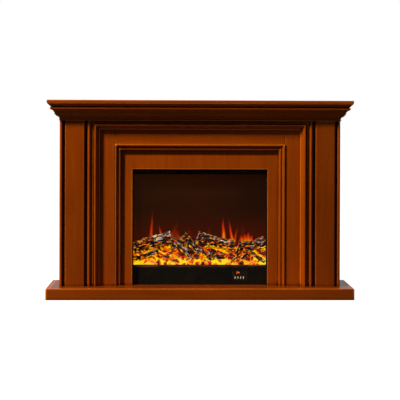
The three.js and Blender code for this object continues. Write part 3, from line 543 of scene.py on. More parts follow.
def finishNode(name, node, slotName):
    if slotName == "lacquered_wood":
        grain = next((a for a, names in grainByNode.items() if name in names), "Z")
        board = ("Pilaster" if "pilaster" in name else "Plinth" if name == "plinth_top" else
                 "Frame" if name in frameBoards else "Plain")
        material = lacquers[grain, board]
        width = edgeSet["moulding" if "moulding" in name or "crown" in name else "wood"]
    else:
        material = finishes[ownFinish.get(name, slotName)]
        width = edgeSet["plastic" if "plastic" in slotName else "metal"]
    node.data.materials.clear()
    node.data.materials.append(material)
    weld = node.modifiers.new("weld", "WELD")
    weld.merge_threshold = edgeSet["merge"]
    if slotName not in ("tinted_glass", "reflector_foil", "heater_alloy"):
        ease = node.modifiers.new("easedEdges", "BEVEL")
        ease.width = width
        ease.segments = 2
        ease.limit_method = "ANGLE"
        ease.angle_limit = math.radians(edgeSet["sharpAngle"])
        ease.harden_normals = False
    shade = node.modifiers.new("smoothCurves", "NODES")
    shade.node_group = smoothTree
    flat = node.modifiers.new("flatFaces", "WEIGHTED_NORMAL")
    flat.keep_sharp = True


replacedNodes = ("ember_bed", "log_left", "log_right", "log_far_right", "log_centre")
slotByNode = {row["node"]: row["material_slot"] for row in frame["record"]["subparts"]}
for nodeName, cadNode in cadNodes.items():
    if nodeName not in replacedNodes:
        finishNode(nodeName, cadNode, slotByNode[nodeName])
print("CAD nodes finished")


# making pieces

def pieceOf(name, mesh, body, material=None):
    piece = bpy.data.objects.new(name, mesh)
    bpy.context.scene.collection.objects.link(piece)
    if material:
        mesh.materials.append(material)
    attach(piece, body)
    return piece


def meshOf(name, bm, smooth=True):
    bmesh.ops.recalc_face_normals(bm, faces=bm.faces)
    mesh = bpy.data.meshes.new(name)
    bm.to_mesh(mesh)
    bm.free()
    for polygon in mesh.polygons:
        polygon.use_smooth = smooth
    return mesh


# walls round a sheet's rim, and a back to close them, in the same order on each run
def closeSheet(bm, rim, place):
    keep = bm.verts.layers.float.values()
    back = [bm.verts.new(place(vert.co)) for vert in rim]
    for near, far in zip(rim, back):
        for layer in keep:
            far[layer] = near[layer]
    for n in range(-1, len(rim) - 1):
        bm.faces.new((rim[n + 1], rim[n], back[n], back[n + 1]))
    bm.faces.new(list(reversed(back)))


def gridOf(columns, rows, place, layers):
    bm = bmesh.new()
    for name in layers:            # each new layer moves the earlier ones
        bm.verts.layers.float.new(name)
    keep = {name: bm.verts.layers.float[name] for name in layers}
    lines = []
    for j in range(rows + 1):
        line = []
        for i in range(columns + 1):
            co, values = place(i / columns, j / rows)
            vert = bm.verts.new(co)
            for name, value in values.items():
                vert[keep[name]] = value
            line.append(vert)
        lines.append(line)
    for low, high in zip(lines, lines[1:]):
        for i in range(columns):
            bm.faces.new((low[i], low[i + 1], high[i + 1], high[i]))
    inner = lines[1:-1]
    rim = lines[0] + [line[-1] for line in inner] + lines[-1][::-1]
    return bm, rim + [line[0] for line in reversed(inner)]


def blendUp(low, high, value):     # smooth step from 0 to 1
    t = min(1.0, max(0.0, (value - low) / (high - low)))
    return t * t * (3 - 2 * t)


def grownOn(mesh, name, tree, given):      # what a tree makes of a mesh, as a plain mesh
    source = bpy.data.objects.new(name + "Source", mesh)
    bpy.context.scene.collection.objects.link(source)
    modifier = source.modifiers.new(name, "NODES")
    modifier.node_group = tree
    for item in tree.interface.items_tree:     # inputs are set by their identifiers
        if item.in_out == "INPUT" and item.name in given:
            modifier[item.identifier] = given[item.name]
    bpy.context.view_layer.update()
    graph = bpy.context.evaluated_depsgraph_get()
    made = bpy.data.meshes.new_from_object(source.evaluated_get(graph))
    made.name = name
    bpy.data.objects.remove(source)
    return made


def instancesOf(tree, points, instance, turn, material, scale=1.0, rough=None):
    spots = addNode(tree, "GeometryNodeInstanceOnPoints", {
        "Points": points, "Instance": instance, "Rotation": turn,
        "Scale": scale if isinstance(scale, bpy.types.NodeSocket) else (scale,) * 3})
    real = addNode(tree, "GeometryNodeRealizeInstances",
                   {"Geometry": spots.outputs["Instances"]}).outputs["Geometry"]
    if rough:                      # broken up by a noise, so that no two look alike
        where = addNode(tree, "GeometryNodeInputPosition").outputs["Position"]
        bumps = addNode(tree, "ShaderNodeTexNoise", {"Scale": 110.0, "Vector": where})
        centred = addNode(tree, "ShaderNodeVectorMath", {
            0: bumps.outputs["Color"], 1: (0.5, 0.5, 0.5)}, operation="SUBTRACT")
        shift = addNode(tree, "ShaderNodeVectorMath", {
            0: centred.outputs["Vector"], "Scale": rough}, operation="SCALE")
        real = addNode(tree, "GeometryNodeSetPosition", {
            "Geometry": real, "Offset": shift.outputs["Vector"]}).outputs["Geometry"]
    coat = addNode(tree, "GeometryNodeSetMaterial", {"Geometry": real, "Material": material})
    addNode(tree, "NodeGroupOutput", {"Geometry": coat.outputs["Geometry"]})


# fire: glowing materials

fireRoom = {"low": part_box("ember_bed")[0], "high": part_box("ember_bed")[1], "half": 0.3338}


def keepInside(co):                # trimmed flush with the walls of the case
    co.x = min(fireRoom["half"], max(-fireRoom["half"], co.x))
    co.y = min(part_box("flame_screen")[0].y - 0.002, co.y)
    return co


glowStops = [
    (0.00, (0.0, 0.0, 0.0)), (0.22, (0.03, 0.0012, 0.0)), (0.36, (0.42, 0.012, 0.0)),
    (0.52, (0.98, 0.070, 0.0)), (0.68, (1.0, 0.22, 0.0)), (0.84, (1.0, 0.54, 0.001)),
    (1.00, (1.0, 0.80, 0.006)),
]


def emberResin():
    material, tree = newMaterial("emberResin", Specular_IOR_Level=0.3, Emission_Strength=1.55)
    place = objectPlace(tree)
    drift = addNode(tree, "ShaderNodeTexNoise", {"Vector": place, "Scale": 55.0})
    warped = mixOf(tree, 0.010, place, drift.outputs["Color"], "ADD")
    cracks = cellsOf(tree, placed(tree, warped, (0.62, 1.0, 1.1)), 175.0, "DISTANCE_TO_EDGE")
    net = rangeOf(tree, cracks, 0.30, 0.02)
    cloud = noiseOf(tree, place, 33.0, 4.0, 0.6, 0.3)
    heat = plus(tree, attributeOf(tree, "glowHeat"), net, 0.34, about=0.40)
    heat = plus(tree, heat, cloud, 0.90, about=0.5, clamp=True)
    char = rampOf(tree, noiseOf(tree, place, 240.0, 5.0, 0.7),
                  [(0.35, (0.004, 0.003, 0.002)), (0.56, (0.020, 0.010, 0.006)),
                   (0.66, (0.34, 0.33, 0.33))])
    return coated(material, Emission_Color=rampOf(tree, heat, glowStops), Base_Color=char,
                  Roughness=roughOf(tree, cloud, 0.45, 0.8),
                  Normal=bumpOf(tree, cracks, 0.5, 0.002))


def charredBark():
    material, tree = newMaterial("charredBark", Specular_IOR_Level=0.35, Emission_Strength=1.5)
    bark = attributeOf(tree, "barkAt", "Vector")

    def drawnOut(along, across):           # longer in the log's own direction
        return placed(tree, bark, (along, across, across))

    fibres = noiseOf(tree, drawnOut(34, 210), 1.0, 4.0, 0.6, 0.5)
    flakes = noiseOf(tree, drawnOut(62, 120), 1.0, 3.0, 0.6, 0.3)
    cracks = cellsOf(tree, drawnOut(30, 80), 1.0, "DISTANCE_TO_EDGE")
    strokes = noiseOf(tree, drawnOut(38, 118), 1.0, 2.0, 0.5, 0.4)
    relief = plus(tree, mathOf(tree, "MULTIPLY", attributeOf(tree, "ridge"), 0.08), fibres,
                  0.26)
    tone = rampOf(tree, plus(tree, relief, strokes, 0.74), [
        (0.44, (0.0012, 0.0011, 0.0011)), (0.575, (0.0045, 0.0036, 0.0032)),
        (0.608, (0.09, 0.088, 0.09)), (0.648, (0.84, 0.88, 0.94))])
    brown = rangeOf(tree, flakes, 0.54, 0.60, 0.0, 0.55)
    seam = rangeOf(tree, cracks, 0.13, 0.01)
    patches = rangeOf(tree, flakes, 0.51, 0.60, -0.80, 0.36)
    # glowHeat carries painted light from the embers and flames, as well as the glowing patches
    glow = plus(tree, attributeOf(tree, "glowHeat"), patches)
    glow = plus(tree, glow, seam, 0.50, clamp=True)
    height = mathOf(tree, "SUBTRACT", fibres, mathOf(tree, "MULTIPLY", seam, 0.5))
    return coated(material, Base_Color=mixOf(tree, brown, tone, (0.034, 0.012, 0.004)),
                  Emission_Color=rampOf(tree, glow, glowStops),
                  Roughness=roughOf(tree, fibres, 0.5, 0.85),
                  Normal=bumpOf(tree, height, 0.7, 0.0016))


def charChunk():
    material, tree = newMaterial("charChunk", Specular_IOR_Level=0.3, Emission_Strength=1.4)
    place = objectPlace(tree)
    crust = noiseOf(tree, place, 190.0, 4.0, 0.65, 0.4)
    patch = noiseOf(tree, place, 70.0, 2.0, 0.5)
    tone = rampOf(tree, crust, [(0.38, (0.003, 0.0025, 0.002)), (0.56, (0.016, 0.009, 0.006)),
                                (0.70, (0.24, 0.24, 0.23))])
    # painted ember light: the undersides glow as if lit by the embers below
    normal = splitOf(tree, addNode(tree, "ShaderNodeNewGeometry").outputs["Normal"])
    emberLitUnderside = rangeOf(tree, normal["Z"], 0.25, -0.75, 0.0, 0.62)
    glow = plus(tree, emberLitUnderside, patch, 1.7, about=0.34)
    glow = plus(tree, glow, crust, 1.1, about=0.5, clamp=True)
    return coated(material, Base_Color=tone, Emission_Color=rampOf(tree, glow, glowStops),
                  Roughness=roughOf(tree, crust, 0.5, 0.85),
                  Normal=bumpOf(tree, crust, 0.6, 0.0015))


# ember bed

bedSet = {
    "columns": 330, "rows": 56, "half": 0.3325, "front": fireRoom["low"].y,
    "back": fireRoom["high"].y, "base": fireRoom["low"].z,
    "frontTop": 0.0105, "rise": 0.082, "swell": 0.010,
    "heapRight": 0.022, "heapLeft": 0.006,      # how much higher it is towards the ends
    "cell": 0.030, "cellTall": 0.021, "slope": 0.110, "warp": 0.5,
    "chunkRise": 0.0085, "fineRise": 0.0018,
    "heat": 0.66, "lumpCool": 0.36, "coolSpread": 0.46, "patchHeat": 0.74, "footHeat": 0.30,
    "topCool": 0.10, "seed": 4,
}


def bedPoint(u, v):
    s = bedSet
    x = -s["half"] + 2 * s["half"] * u
    swell = s["swell"] * noise.noise(Vector((x * 9, s["seed"], 0.0)))
    swell += s["heapRight"] * blendUp(0.17, 0.30, x)
    swell += s["heapLeft"] * blendUp(-0.10, -0.30, x)
    y = s["front"] + (s["back"] - s["front"]) * v
    z = s["base"] + s["frontTop"] + (s["rise"] + swell) * v ** 0.82
    warpX = noise.noise(Vector((x * 30, v * 4, 2.0))) * s["warp"]
    warpV = noise.noise(Vector((x * 30, v * 4, 9.0))) * s["warp"]
    spot = Vector((x / s["cell"] + warpX, s["slope"] * v / s["cellTall"] + warpV, 0.35))
    near, _ = noise.voronoi(spot)
    edge = near[1] - near[0]
    lump = blendUp(0.03, 0.42, edge)
    fine = noise.noise(Vector((x * 120, v * 13, 7.0)))
    lift = s["chunkRise"] * (lump - 0.35) + s["fineRise"] * fine
    rim = blendUp(0.0, 0.03, min(v, 1 - v)) * blendUp(0.0, 0.008, min(u, 1 - u))
    outward = Vector((0.0, -0.72, 0.69)) * lift * rim
    cool = 0.5 + 0.5 * noise.noise(Vector((x * 41, v * 3.4, 31.0)) + spot * 0.11)
    patch = noise.noise(Vector((x * 17 + v * 2.2, v * 2.6, 11.0)))
    cooled = (s["lumpCool"] + s["coolSpread"] * cool) * blendUp(0.06, 0.42, edge)
    heat = s["heat"] - cooled + s["patchHeat"] * patch
    foot = 0.75 + 0.5 * noise.noise(Vector((x * 55, v * 30, 17.0)))
    heat += s["footHeat"] * foot * (1 - blendUp(0.04, 0.34, v)) - s["topCool"] * v
    return Vector((x, y, z)) + outward, {"glowHeat": heat, "ridge": lump}


def makeEmberBed():
    s = bedSet
    bm, rim = gridOf(s["columns"], s["rows"], bedPoint, ("glowHeat", "ridge"))
    closeSheet(bm, rim, lambda co: Vector((co.x, co.y, s["base"])))
    bed = pieceOf("ember_bed_glow", meshOf("emberBed", bm), "fireplace",
                  emberResin())
    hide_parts("ember_bed")
    return bed


# char chunks scattered on the bed by Geometry Nodes

chunkSet = {"density": 1500.0, "size": 0.0068, "spread": 0.50, "rough": 0.0040, "seed": 12,
            "lowest": fireRoom["low"].z + 0.019, "steepest": 0.15, "shape": (2.0, 0.80, 0.62)}


def chunkTree(material, values):
    tree, given = groupOf("chunkScatter", values)
    picks = []
    for kind, least in (("GeometryNodeInputNormal", chunkSet["steepest"]),
                        ("GeometryNodeInputPosition", chunkSet["lowest"])):
        height = splitOf(tree, addNode(tree, kind).outputs[0])["Z"]
        picks.append(addNode(tree, "FunctionNodeCompare", {0: height, 1: least},
                             data_type="FLOAT", operation="GREATER_THAN").outputs["Result"])
    upper = addNode(tree, "FunctionNodeBooleanMath", dict(enumerate(picks)), operation="AND")
    scatter = addNode(tree, "GeometryNodeDistributePointsOnFaces", {
        "Mesh": given["Geometry"], "Density": given["Density"], "Seed": given["Seed"],
        "Selection": upper.outputs[0]})
    lump = addNode(tree, "GeometryNodeMeshIcoSphere", {
        "Subdivisions": 2, "Radius": given["Size"]})
    flat = addNode(tree, "GeometryNodeTransform", {
        "Geometry": lump.outputs["Mesh"], "Scale": chunkSet["shape"]})
    turn = addNode(tree, "FunctionNodeRandomValue", {
        0: (-0.5, -0.9, -1.2), 1: (0.5, 0.9, 1.2), "Seed": given["Seed"]},
        data_type="FLOAT_VECTOR")
    grow = addNode(tree, "FunctionNodeRandomValue", {
        2: mathOf(tree, "SUBTRACT", 1.0, given["Spread"]),
        3: mathOf(tree, "ADD", 1.0, given["Spread"]), "Seed": given["Seed"]},
        data_type="FLOAT")
    instancesOf(tree, scatter.outputs["Points"], flat.outputs["Geometry"], turn.outputs[0],
                material, grow.outputs[1], given["Rough"])
    return tree


def scatterChunks(bed):
    values = {name: chunkSet[name.lower()]
              for name in ("Density", "Size", "Spread", "Rough", "Seed")}
    mesh = grownOn(bed.data.copy(), "emberChunks", chunkTree(charChunk(), values), values)
    for vert in mesh.vertices:
        vert.co = keepInside(vert.co)
    pieceOf("ember_chunks", mesh, "fireplace")
    print("ember chunks:", len(mesh.polygons), "faces")


emberBed = makeEmberBed()
scatterChunks(emberBed)
print("ember bed made")


# logs

# path points in metres, radii at the two ends, painted flame light along the top edge, how far
# that glow runs, depth of the section against its height, seed
logSet = {
    "log_long_left": {"path": ((-0.3335, 0.040, 0.229), (-0.242, 0.040, 0.260),
                               (-0.143, 0.038, 0.279)),
                      "radii": (0.0255, 0.0330), "topGlow": 0.88, "glowTo": 0.66,
                      "flat": 0.70, "seed": 3},
    "log_low_left": {"path": ((-0.3300, 0.021, 0.178), (-0.268, 0.019, 0.199),
                              (-0.206, 0.023, 0.218)),
                     "radii": (0.0120, 0.0105), "topGlow": 0.62, "seed": 8},
    "log_trunk": {"path": ((-0.086, 0.034, 0.300), (-0.042, 0.028, 0.256),
                           (0.006, 0.022, 0.214)),
                  "radii": (0.0190, 0.0185), "topGlow": 0.34, "glowTo": 0.50, "seed": 15},
    "log_behind_trunk": {"path": ((-0.136, 0.040, 0.250), (-0.088, 0.036, 0.236),
                                  (-0.034, 0.030, 0.208)),
                         "radii": (0.0180, 0.0175), "topGlow": 0.10, "seed": 22},
    "log_stub": {"path": ((-0.072, 0.022, 0.226), (-0.052, 0.019, 0.202),
                          (-0.036, 0.017, 0.176)),
                 "radii": (0.0130, 0.0135), "topGlow": 0.0, "seed": 24},
    "branch_behind": {"path": ((-0.146, 0.048, 0.272), (-0.108, 0.046, 0.266),
                               (-0.064, 0.044, 0.246)),
                      "radii": (0.0120, 0.0110), "topGlow": 0.80, "seed": 27},
    "log_long_right": {"path": ((-0.012, 0.042, 0.288), (0.071, 0.042, 0.264),
                                (0.176, 0.040, 0.243)),
                       "radii": (0.0280, 0.0250), "topGlow": 0.50, "glowTo": 0.45,
                       "flat": 0.70, "seed": 31},
    "log_grey_right": {"path": ((0.196, 0.042, 0.242), (0.270, 0.040, 0.243),
                                (0.3335, 0.044, 0.268)),
                       "radii": (0.0250, 0.0270), "topGlow": 0.06, "flat": 0.78, "seed": 36},
    "branch_glowing": {"path": ((0.208, 0.018, 0.254), (0.193, 0.016, 0.232),
                                (0.180, 0.014, 0.204)),
                       "radii": (0.0092, 0.0078), "topGlow": 1.0, "seed": 41},
    "stick_grey": {"path": ((0.206, 0.020, 0.212), (0.182, 0.016, 0.186),
                            (0.156, 0.012, 0.160)),
                   "radii": (0.0066, 0.0056), "topGlow": 0.0, "seed": 46},
    "stick_grey_two": {"path": ((0.240, 0.021, 0.208), (0.217, 0.016, 0.187),
                                (0.192, 0.013, 0.166)),
                       "radii": (0.0062, 0.0058), "topGlow": 0.10, "seed": 50},
    "stick_dark_right": {"path": ((0.258, 0.024, 0.212), (0.292, 0.020, 0.189),
                                  (0.3260, 0.015, 0.163)),
                         "radii": (0.0100, 0.0090), "topGlow": 0.0, "seed": 55},
    "log_end": {"path": ((0.052, 0.050, 0.194), (0.054, 0.034, 0.192),
                         (0.056, 0.011, 0.190)),
                "radii": (0.0210, 0.0205), "topGlow": 0.20, "seed": 60},
    "log_short": {"path": ((0.080, 0.026, 0.194), (0.100, 0.022, 0.188),
                           (0.126, 0.021, 0.192)),
                  "radii": (0.0140, 0.0120), "topGlow": 0.10, "seed": 63},
    "stick_centre": {"path": ((0.002, 0.018, 0.242), (0.018, 0.015, 0.220),
                              (0.034, 0.012, 0.198)),
                     "radii": (0.0052, 0.0046), "topGlow": 0.0, "seed": 66},
}

barkSet = {"step": 0.0026, "sides": 40, "ridgeDepth": 0.26, "swell": 0.12, "knots": 0.16,
           "endRings": 5, "heat": 0.08, "bedEmberLight": 0.18, "bedReach": (0.215, 0.165),
           "topFlameLight": 0.85, "underEmberLight": 0.46, "patchHeat": 0.24}


def curvePoint(points, t):         # a quadratic curve through the middle point
    a, b, c = (Vector(p) for p in points)
    control = 2 * b - (a + c) / 2
    return (1 - t) ** 2 * a + 2 * t * (1 - t) * control + t * t * c


def barkRelief(u, angle, radius, seed):
    around = Vector((math.cos(angle), math.sin(angle), 0.0)) * radius
    long = noise.noise(Vector((u * 14, around.x * 150, around.y * 150 + seed)))
    fine = noise.noise(Vector((u * 60, around.x * 420, around.y * 420 + seed)))
    return (1 - 2.2 * abs(long)) * 0.7 + 0.45 * fine


def makeLog(name, s, material):
    b, points, seed = barkSet, s["path"], s["seed"]
    length = (Vector(points[2]) - Vector(points[0])).length
    rings = max(8, round(length / b["step"]))
    bm = bmesh.new()
    barkLayer = bm.verts.layers.float_vector.new("barkAt")
    for layer in ("glowHeat", "ridge"):
        bm.verts.layers.float.new(layer)
    heatLayer, ridgeLayer = (bm.verts.layers.float[layer] for layer in ("glowHeat", "ridge"))
    side = Vector((0, 1, 0)) if abs((Vector(points[2]) - Vector(points[0])).y) < 0.03 \
        else Vector((1, 0, 0))

    def ringAt(t, share):
        centre = curvePoint(points, t)
        ahead = (curvePoint(points, min(1, t + 0.02)) - curvePoint(points, max(0, t - 0.02)))
        ahead.normalize()
        out = ahead.cross(side).normalized()
        if out.z < 0:
            out = -out
        across = out.cross(ahead)
        radius = s["radii"][0] * (1 - t) + s["radii"][1] * t
        radius *= 1 + b["swell"] * noise.noise(Vector((t * length * 30, seed, 4.0)))
        line = []
        for k in range(b["sides"]):
            angle = 2 * math.pi * k / b["sides"]
            knot = b["knots"] * max(0.0, noise.noise(Vector(
                (t * length * 22, 1.6 * math.cos(angle) + seed, 1.6 * math.sin(angle)))))
            relief = barkRelief(t * length, angle, radius, seed)
            r = radius * (1 + b["ridgeDepth"] * (relief - 0.35) + knot) * share
            vert = bm.verts.new(keepInside(centre + out * math.cos(angle) * r + across
                                           * math.sin(angle) * r * s.get("flat", 1.0)))
            top = max(0.0, math.cos(angle))
            low = blendUp(*b["bedReach"], vert.co.z)
            run = 1 - blendUp(0.0, 0.18, t - s.get("glowTo", 1.2))
            # painted light: the embers light the low parts and underside, the flames the top edge
            heat = b["heat"] + b["bedEmberLight"] * low
            heat += s["topGlow"] * b["topFlameLight"] * top ** 4 * run
            heat += b["underEmberLight"] * blendUp(-0.35, -0.95, math.cos(angle))
            heat += b["patchHeat"] * noise.noise(
                Vector((t * length * 38, math.cos(angle), seed)))
            if share < 1:      # sawn end: rings of light and dark wood
                heat = 0.34 + 0.30 * math.cos(share * 19.0)
                relief = 0.6 + 2.4 * math.cos(share * 25.0)
            vert[heatLayer] = heat
            vert[ridgeLayer] = relief
            vert[barkLayer] = (t * length, math.cos(angle) * r, math.sin(angle) * r + seed)
            line.append(vert)
        return line

    steps = b["endRings"]
    lines = [ringAt(0, 1 - i / steps) for i in range(steps - 1, 0, -1)]
    lines += [ringAt(i / rings, 1.0) for i in range(rings + 1)]
    lines += [ringAt(1, 1 - i / steps) for i in range(1, steps)]
    for low, high in zip(lines, lines[1:]):
        for k in range(b["sides"]):
            n = (k + 1) % b["sides"]
            bm.faces.new((low[k], low[n], high[n], high[k]))
    bm.faces.new(lines[0])
    bm.faces.new(lines[-1])
    return pieceOf(name, meshOf(name, bm), "fireplace", material)


barkMaterial = charredBark()
logPieces = {name: makeLog(name, s, barkMaterial) for name, s in logSet.items()}
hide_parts("log_left")
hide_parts("log_right")
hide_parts("log_far_right")
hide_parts("log_centre")
print("logs made:", len(logPieces))


# flames: a film on the screen's face, lit from behind

# foot and tip as (x, z), width of the foot, strength
flameSet = [
    ((-0.243, 0.270), (-0.239, 0.430), 0.0085, 0.62),
    ((-0.194, 0.288), (-0.203, 0.352), 0.0060, 0.66),
    ((-0.141, 0.280), (-0.108, 0.372), 0.0150, 0.30),
    ((-0.112, 0.285), (-0.128, 0.352), 0.0170, 0.30),
    ((-0.050, 0.290), (-0.052, 0.352), 0.0160, 0.17),
    ((-0.010, 0.285), (0.004, 0.345), 0.0160, 0.16),
    ((0.048, 0.285), (0.054, 0.350), 0.0120, 0.22),
    ((0.121, 0.278), (0.120, 0.392), 0.0082, 0.98),
    ((0.168, 0.272), (0.143, 0.388), 0.0068, 0.74),
    ((0.181, 0.276), (0.192, 0.352), 0.0055, 0.46),
    ((0.216, 0.285), (0.222, 0.372), 0.0110, 0.16),
    ((0.214, 0.262), (0.211, 0.300), 0.0140, 0.80),
    ((0.232, 0.262), (0.230, 0.308), 0.0150, 0.86),
    ((0.247, 0.262), (0.248, 0.318), 0.0125, 0.90),
    ((0.262, 0.262), (0.264, 0.302), 0.0120, 0.76),
    ((-0.060, 0.270), (-0.066, 0.318), 0.0300, 0.18),
]
filmSet = {"half": 0.3335, "low": 0.1462, "high": 0.6020, "columns": 290, "rows": 130,
           "thickness": 0.0004, "clear": 0.0009, "sway": 0.0016, "tipWidth": 0.0012}


def flameHeat(x, z):
    heat = 0.0
    for (footX, footZ), (tipX, tipZ), width, strength in flameSet:
        t = (z - footZ) / (tipZ - footZ)
        if t < -0.6 or t > 1.0:
            continue
        up = max(0.0, t)
        sway = filmSet["sway"] * math.sin(up * 5.0 + footX * 60)
        middle = footX + (tipX - footX) * up + sway
        half = width * (1 - up) ** 0.72 + filmSet["tipWidth"]
        across = math.exp(-((x - middle) / half) ** 2)
        fade = (1 - up) ** 0.9 * blendUp(-0.6, 0.0, t)
        heat = max(heat, strength * across * fade)
    return heat


def filmPoint(u, v):
    s = filmSet
    x = -s["half"] + 2 * s["half"] * u
    z = s["low"] + (s["high"] - s["low"]) * v ** 1.35
    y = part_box("flame_screen")[0].y - s["clear"]
    haze = blendUp(0.44, 0.27, z) * (0.6 + 0.4 * noise.noise(Vector((x * 7, z * 5, 1.0))))
    return Vector((x, y, z)), {"glowHeat": flameHeat(x, z), "haze": haze}


def flameFilm():
    material, tree = newMaterial("flameFilm", Specular_IOR_Level=0.0, Emission_Strength=1.0)
    place = objectPlace(tree)
    wisps = noiseOf(tree, placed(tree, place, (90, 1, 14)), 1.0, 4.0, 0.6, 0.6)
    heat = mathOf(tree, "MULTIPLY", attributeOf(tree, "glowHeat"),
                  rangeOf(tree, wisps, 0.25, 0.6, 0.72, 1.12))
    flame = rampOf(tree, heat, [(0.02, (0.0, 0.0, 0.0)), (0.14, (0.075, 0.0035, 0.0)),
                                (0.34, (0.58, 0.020, 0.0)), (0.56, (1.0, 0.085, 0.0)),
                                (0.80, (1.0, 0.42, 0.004))])
    sideways = rangeOf(tree, splitOf(tree, place)["X"], -0.34, 0.34)
    base = rampOf(tree, sideways, [(0.0, (0.0250, 0.0072, 0.0019)),
                                   (0.5, (0.0320, 0.0064, 0.0017)),
                                   (1.0, (0.0170, 0.0046, 0.0017))])
    haze = mixOf(tree, attributeOf(tree, "haze"), base, (0.090, 0.0075, 0.0014))
    return coated(
        material, Emission_Color=mixOf(tree, 1.0, haze, flame, "ADD"),
        Base_Color=twoTone(tree, wisps, (0.004, 0.001, 0.0005), (0.007, 0.002, 0.001)),
        Roughness=roughOf(tree, wisps, 0.5, 0.7))


def makeFlameFilm():
    s = filmSet
    bm, rim = gridOf(s["columns"], s["rows"], filmPoint, ("glowHeat", "haze"))
    closeSheet(bm, rim, lambda co: co + Vector((0, s["thickness"], 0)))
    pieceOf("flame_film", meshOf("flameFilm", bm, smooth=False), "fireplace",
            flameFilm())


makeFlameFilm()
print("flames made")


# display digits, and painted glints on the buttons

displaySet = {"digits": "24", "height": 0.0088, "width": 0.0052, "stroke": 0.0014,
              "space": 0.0030, "slant": 0.10, "raise": 0.00025}
segmentsOf = {"0": "abcdef", "1": "bc", "2": "abged", "3": "abgcd", "4": "fgbc",
              "5": "afgcd", "6": "afgedc", "7": "abc", "8": "abcdefg", "9": "abcdfg"}


def addPrism(bm, outline, front, back):    # outline of (x, z) points, walls along Y
    near = [bm.verts.new((x, front, z)) for x, z in outline]
    far = [bm.verts.new((x, back, z)) for x, z in outline]
    bm.faces.new(near)
    bm.faces.new(list(reversed(far)))
    for i in range(len(near)):
        n = (i + 1) % len(near)
        bm.faces.new((near[i], far[i], far[n], near[n]))


def segmentOutline(a, b, stroke):          # a bar with pointed ends
    a, b = Vector(a), Vector(b)
    ahead = (b - a).normalized()
    side = Vector((-ahead.y, ahead.x)) * stroke / 2
    a, b = a + ahead * stroke * 0.15, b - ahead * stroke * 0.15
    inner, outer = a + ahead * stroke / 2, b - ahead * stroke / 2
    return [tuple(p) for p in (a, inner + side, outer + side, b, outer - side, inner - side)]


def makeDigits():
    s = displaySet
    low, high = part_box("display_window")
    middle = (low + high) / 2
    w, h = s["width"], s["height"] / 2
    corners = {"a": ((0, 2 * h), (w, 2 * h)), "b": ((w, 2 * h), (w, h)), "c": ((w, h), (w, 0)),
               "d": ((0, 0), (w, 0)), "e": ((0, h), (0, 0)), "f": ((0, 2 * h), (0, h)),
               "g": ((0, h), (w, h))}
    full = len(s["digits"]) * w + (len(s["digits"]) - 1) * s["space"]
    bm = bmesh.new()
    for n, digit in enumerate(s["digits"]):
        left = middle.x - full / 2 + n * (w + s["space"])
        for segment in segmentsOf[digit]:
            bar = segmentOutline(*corners[segment], s["stroke"])
            outline = [(left + x + s["slant"] * z, middle.z - h + z) for x, z in bar]
            addPrism(bm, outline, low.y - s["raise"], low.y + s["raise"] * 2)
    pieceOf("display_digits", meshOf("displayDigits", bm, smooth=False), "fireplace",
            litPrintAndGlint("digitGlow", (1.0, 0.16, 0.006), 1.5))


glintSet = {"height": 0.0136, "thick": 0.0030, "bow": 0.0040, "tipHalf": 0.0004,
           "raise": 0.0002, "steps": 14}


# painted highlight: a pale glowing crescent on the button, where a glint falls
def makeGlint(button, material):
    s = glintSet
    low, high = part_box(button)
    middle = (low + high) / 2
    outer, inner = [], []
    for i in range(s["steps"] + 1):
        t = -1 + 2 * i / s["steps"]
        z = middle.z + t * s["height"] / 2
        bulge = 1 - t * t
        left = middle.x - s["bow"] * 0.45
        outer.append((left + (s["bow"] + s["tipHalf"]) * bulge + s["tipHalf"], z))
        inner.append((left + (s["bow"] - s["thick"] * 0.62) * bulge - s["tipHalf"], z))
    bm = bmesh.new()
    addPrism(bm, inner + list(reversed(outer)), low.y - s["raise"], low.y + 3 * s["raise"])
    pieceOf(button + "_mark", meshOf(button + "Glint", bm, smooth=False), button,
            material)


makeDigits()
glintMaterial = litPrintAndGlint("creamGlint", (0.80, 0.62, 0.36), 0.55)
for number in range(1, 5):
    makeGlint("button_%d" % number, glintMaterial)
print("display and marks made")


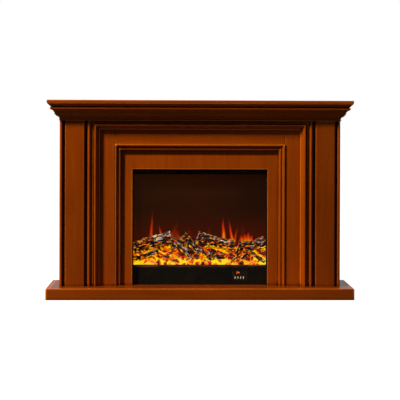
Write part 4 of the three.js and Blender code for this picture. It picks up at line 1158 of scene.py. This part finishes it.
# screws on the rear cover, by Geometry Nodes

screwSet = {"radius": 0.0038, "height": 0.0022, "collar": 0.0056, "inset": 0.010,
            "flange": 0.0012, "turned": 1.05, "seed": 5, "across": 5, "up": 4}


def screwTree(material, values):
    tree, given = groupOf("hexScrews", values)
    head = addNode(tree, "GeometryNodeMeshCylinder", {
        "Vertices": 6, "Radius": given["Radius"], "Depth": given["Height"]})
    collar = addNode(tree, "GeometryNodeMeshCylinder", {
        "Vertices": 20, "Depth": screwSet["flange"], "Radius": given["Collar"]})
    raised = addNode(tree, "ShaderNodeCombineXYZ", {"Z": given["Height"]})
    lift = addNode(tree, "GeometryNodeTransform", {
        "Translation": raised.outputs["Vector"], "Geometry": head.outputs["Mesh"]})
    both = addNode(tree, "GeometryNodeJoinGeometry", {"Geometry": lift.outputs["Geometry"]})
    feed(tree, both.inputs["Geometry"], collar.outputs["Mesh"])
    flat = -math.pi / 2
    turn = addNode(tree, "FunctionNodeRandomValue", {
        0: (flat, 0, 0), 1: (flat, screwSet["turned"], 0), "Seed": screwSet["seed"]},
        data_type="FLOAT_VECTOR")
    instancesOf(tree, given["Geometry"], both.outputs["Geometry"], turn.outputs[0], material)
    return tree


def makeScrews():
    s = screwSet
    low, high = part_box("rear_cover")
    left, right = low.x + s["inset"], high.x - s["inset"]
    bottom, top = low.z + s["inset"], high.z - s["inset"]
    spots = set()
    for i in range(s["across"]):
        x = left + (right - left) * i / (s["across"] - 1)
        spots.update({(x, bottom), (x, top)})
    for j in range(s["up"]):
        z = bottom + (top - bottom) * j / (s["up"] - 1)
        spots.update({(left, z), (right, z)})
    mesh = bpy.data.meshes.new("screwSpots")
    mesh.from_pydata([(x, high.y + s["flange"] / 2, z) for x, z in sorted(spots)], [], [])
    values = {name: s[name.lower()] for name in ("Radius", "Height", "Collar")}
    screws = grownOn(mesh, "rearScrews", screwTree(finishes["zinc_steel"], values), values)
    pieceOf("rear_cover_screws", screws, "fireplace")


makeScrews()
print("screws made")
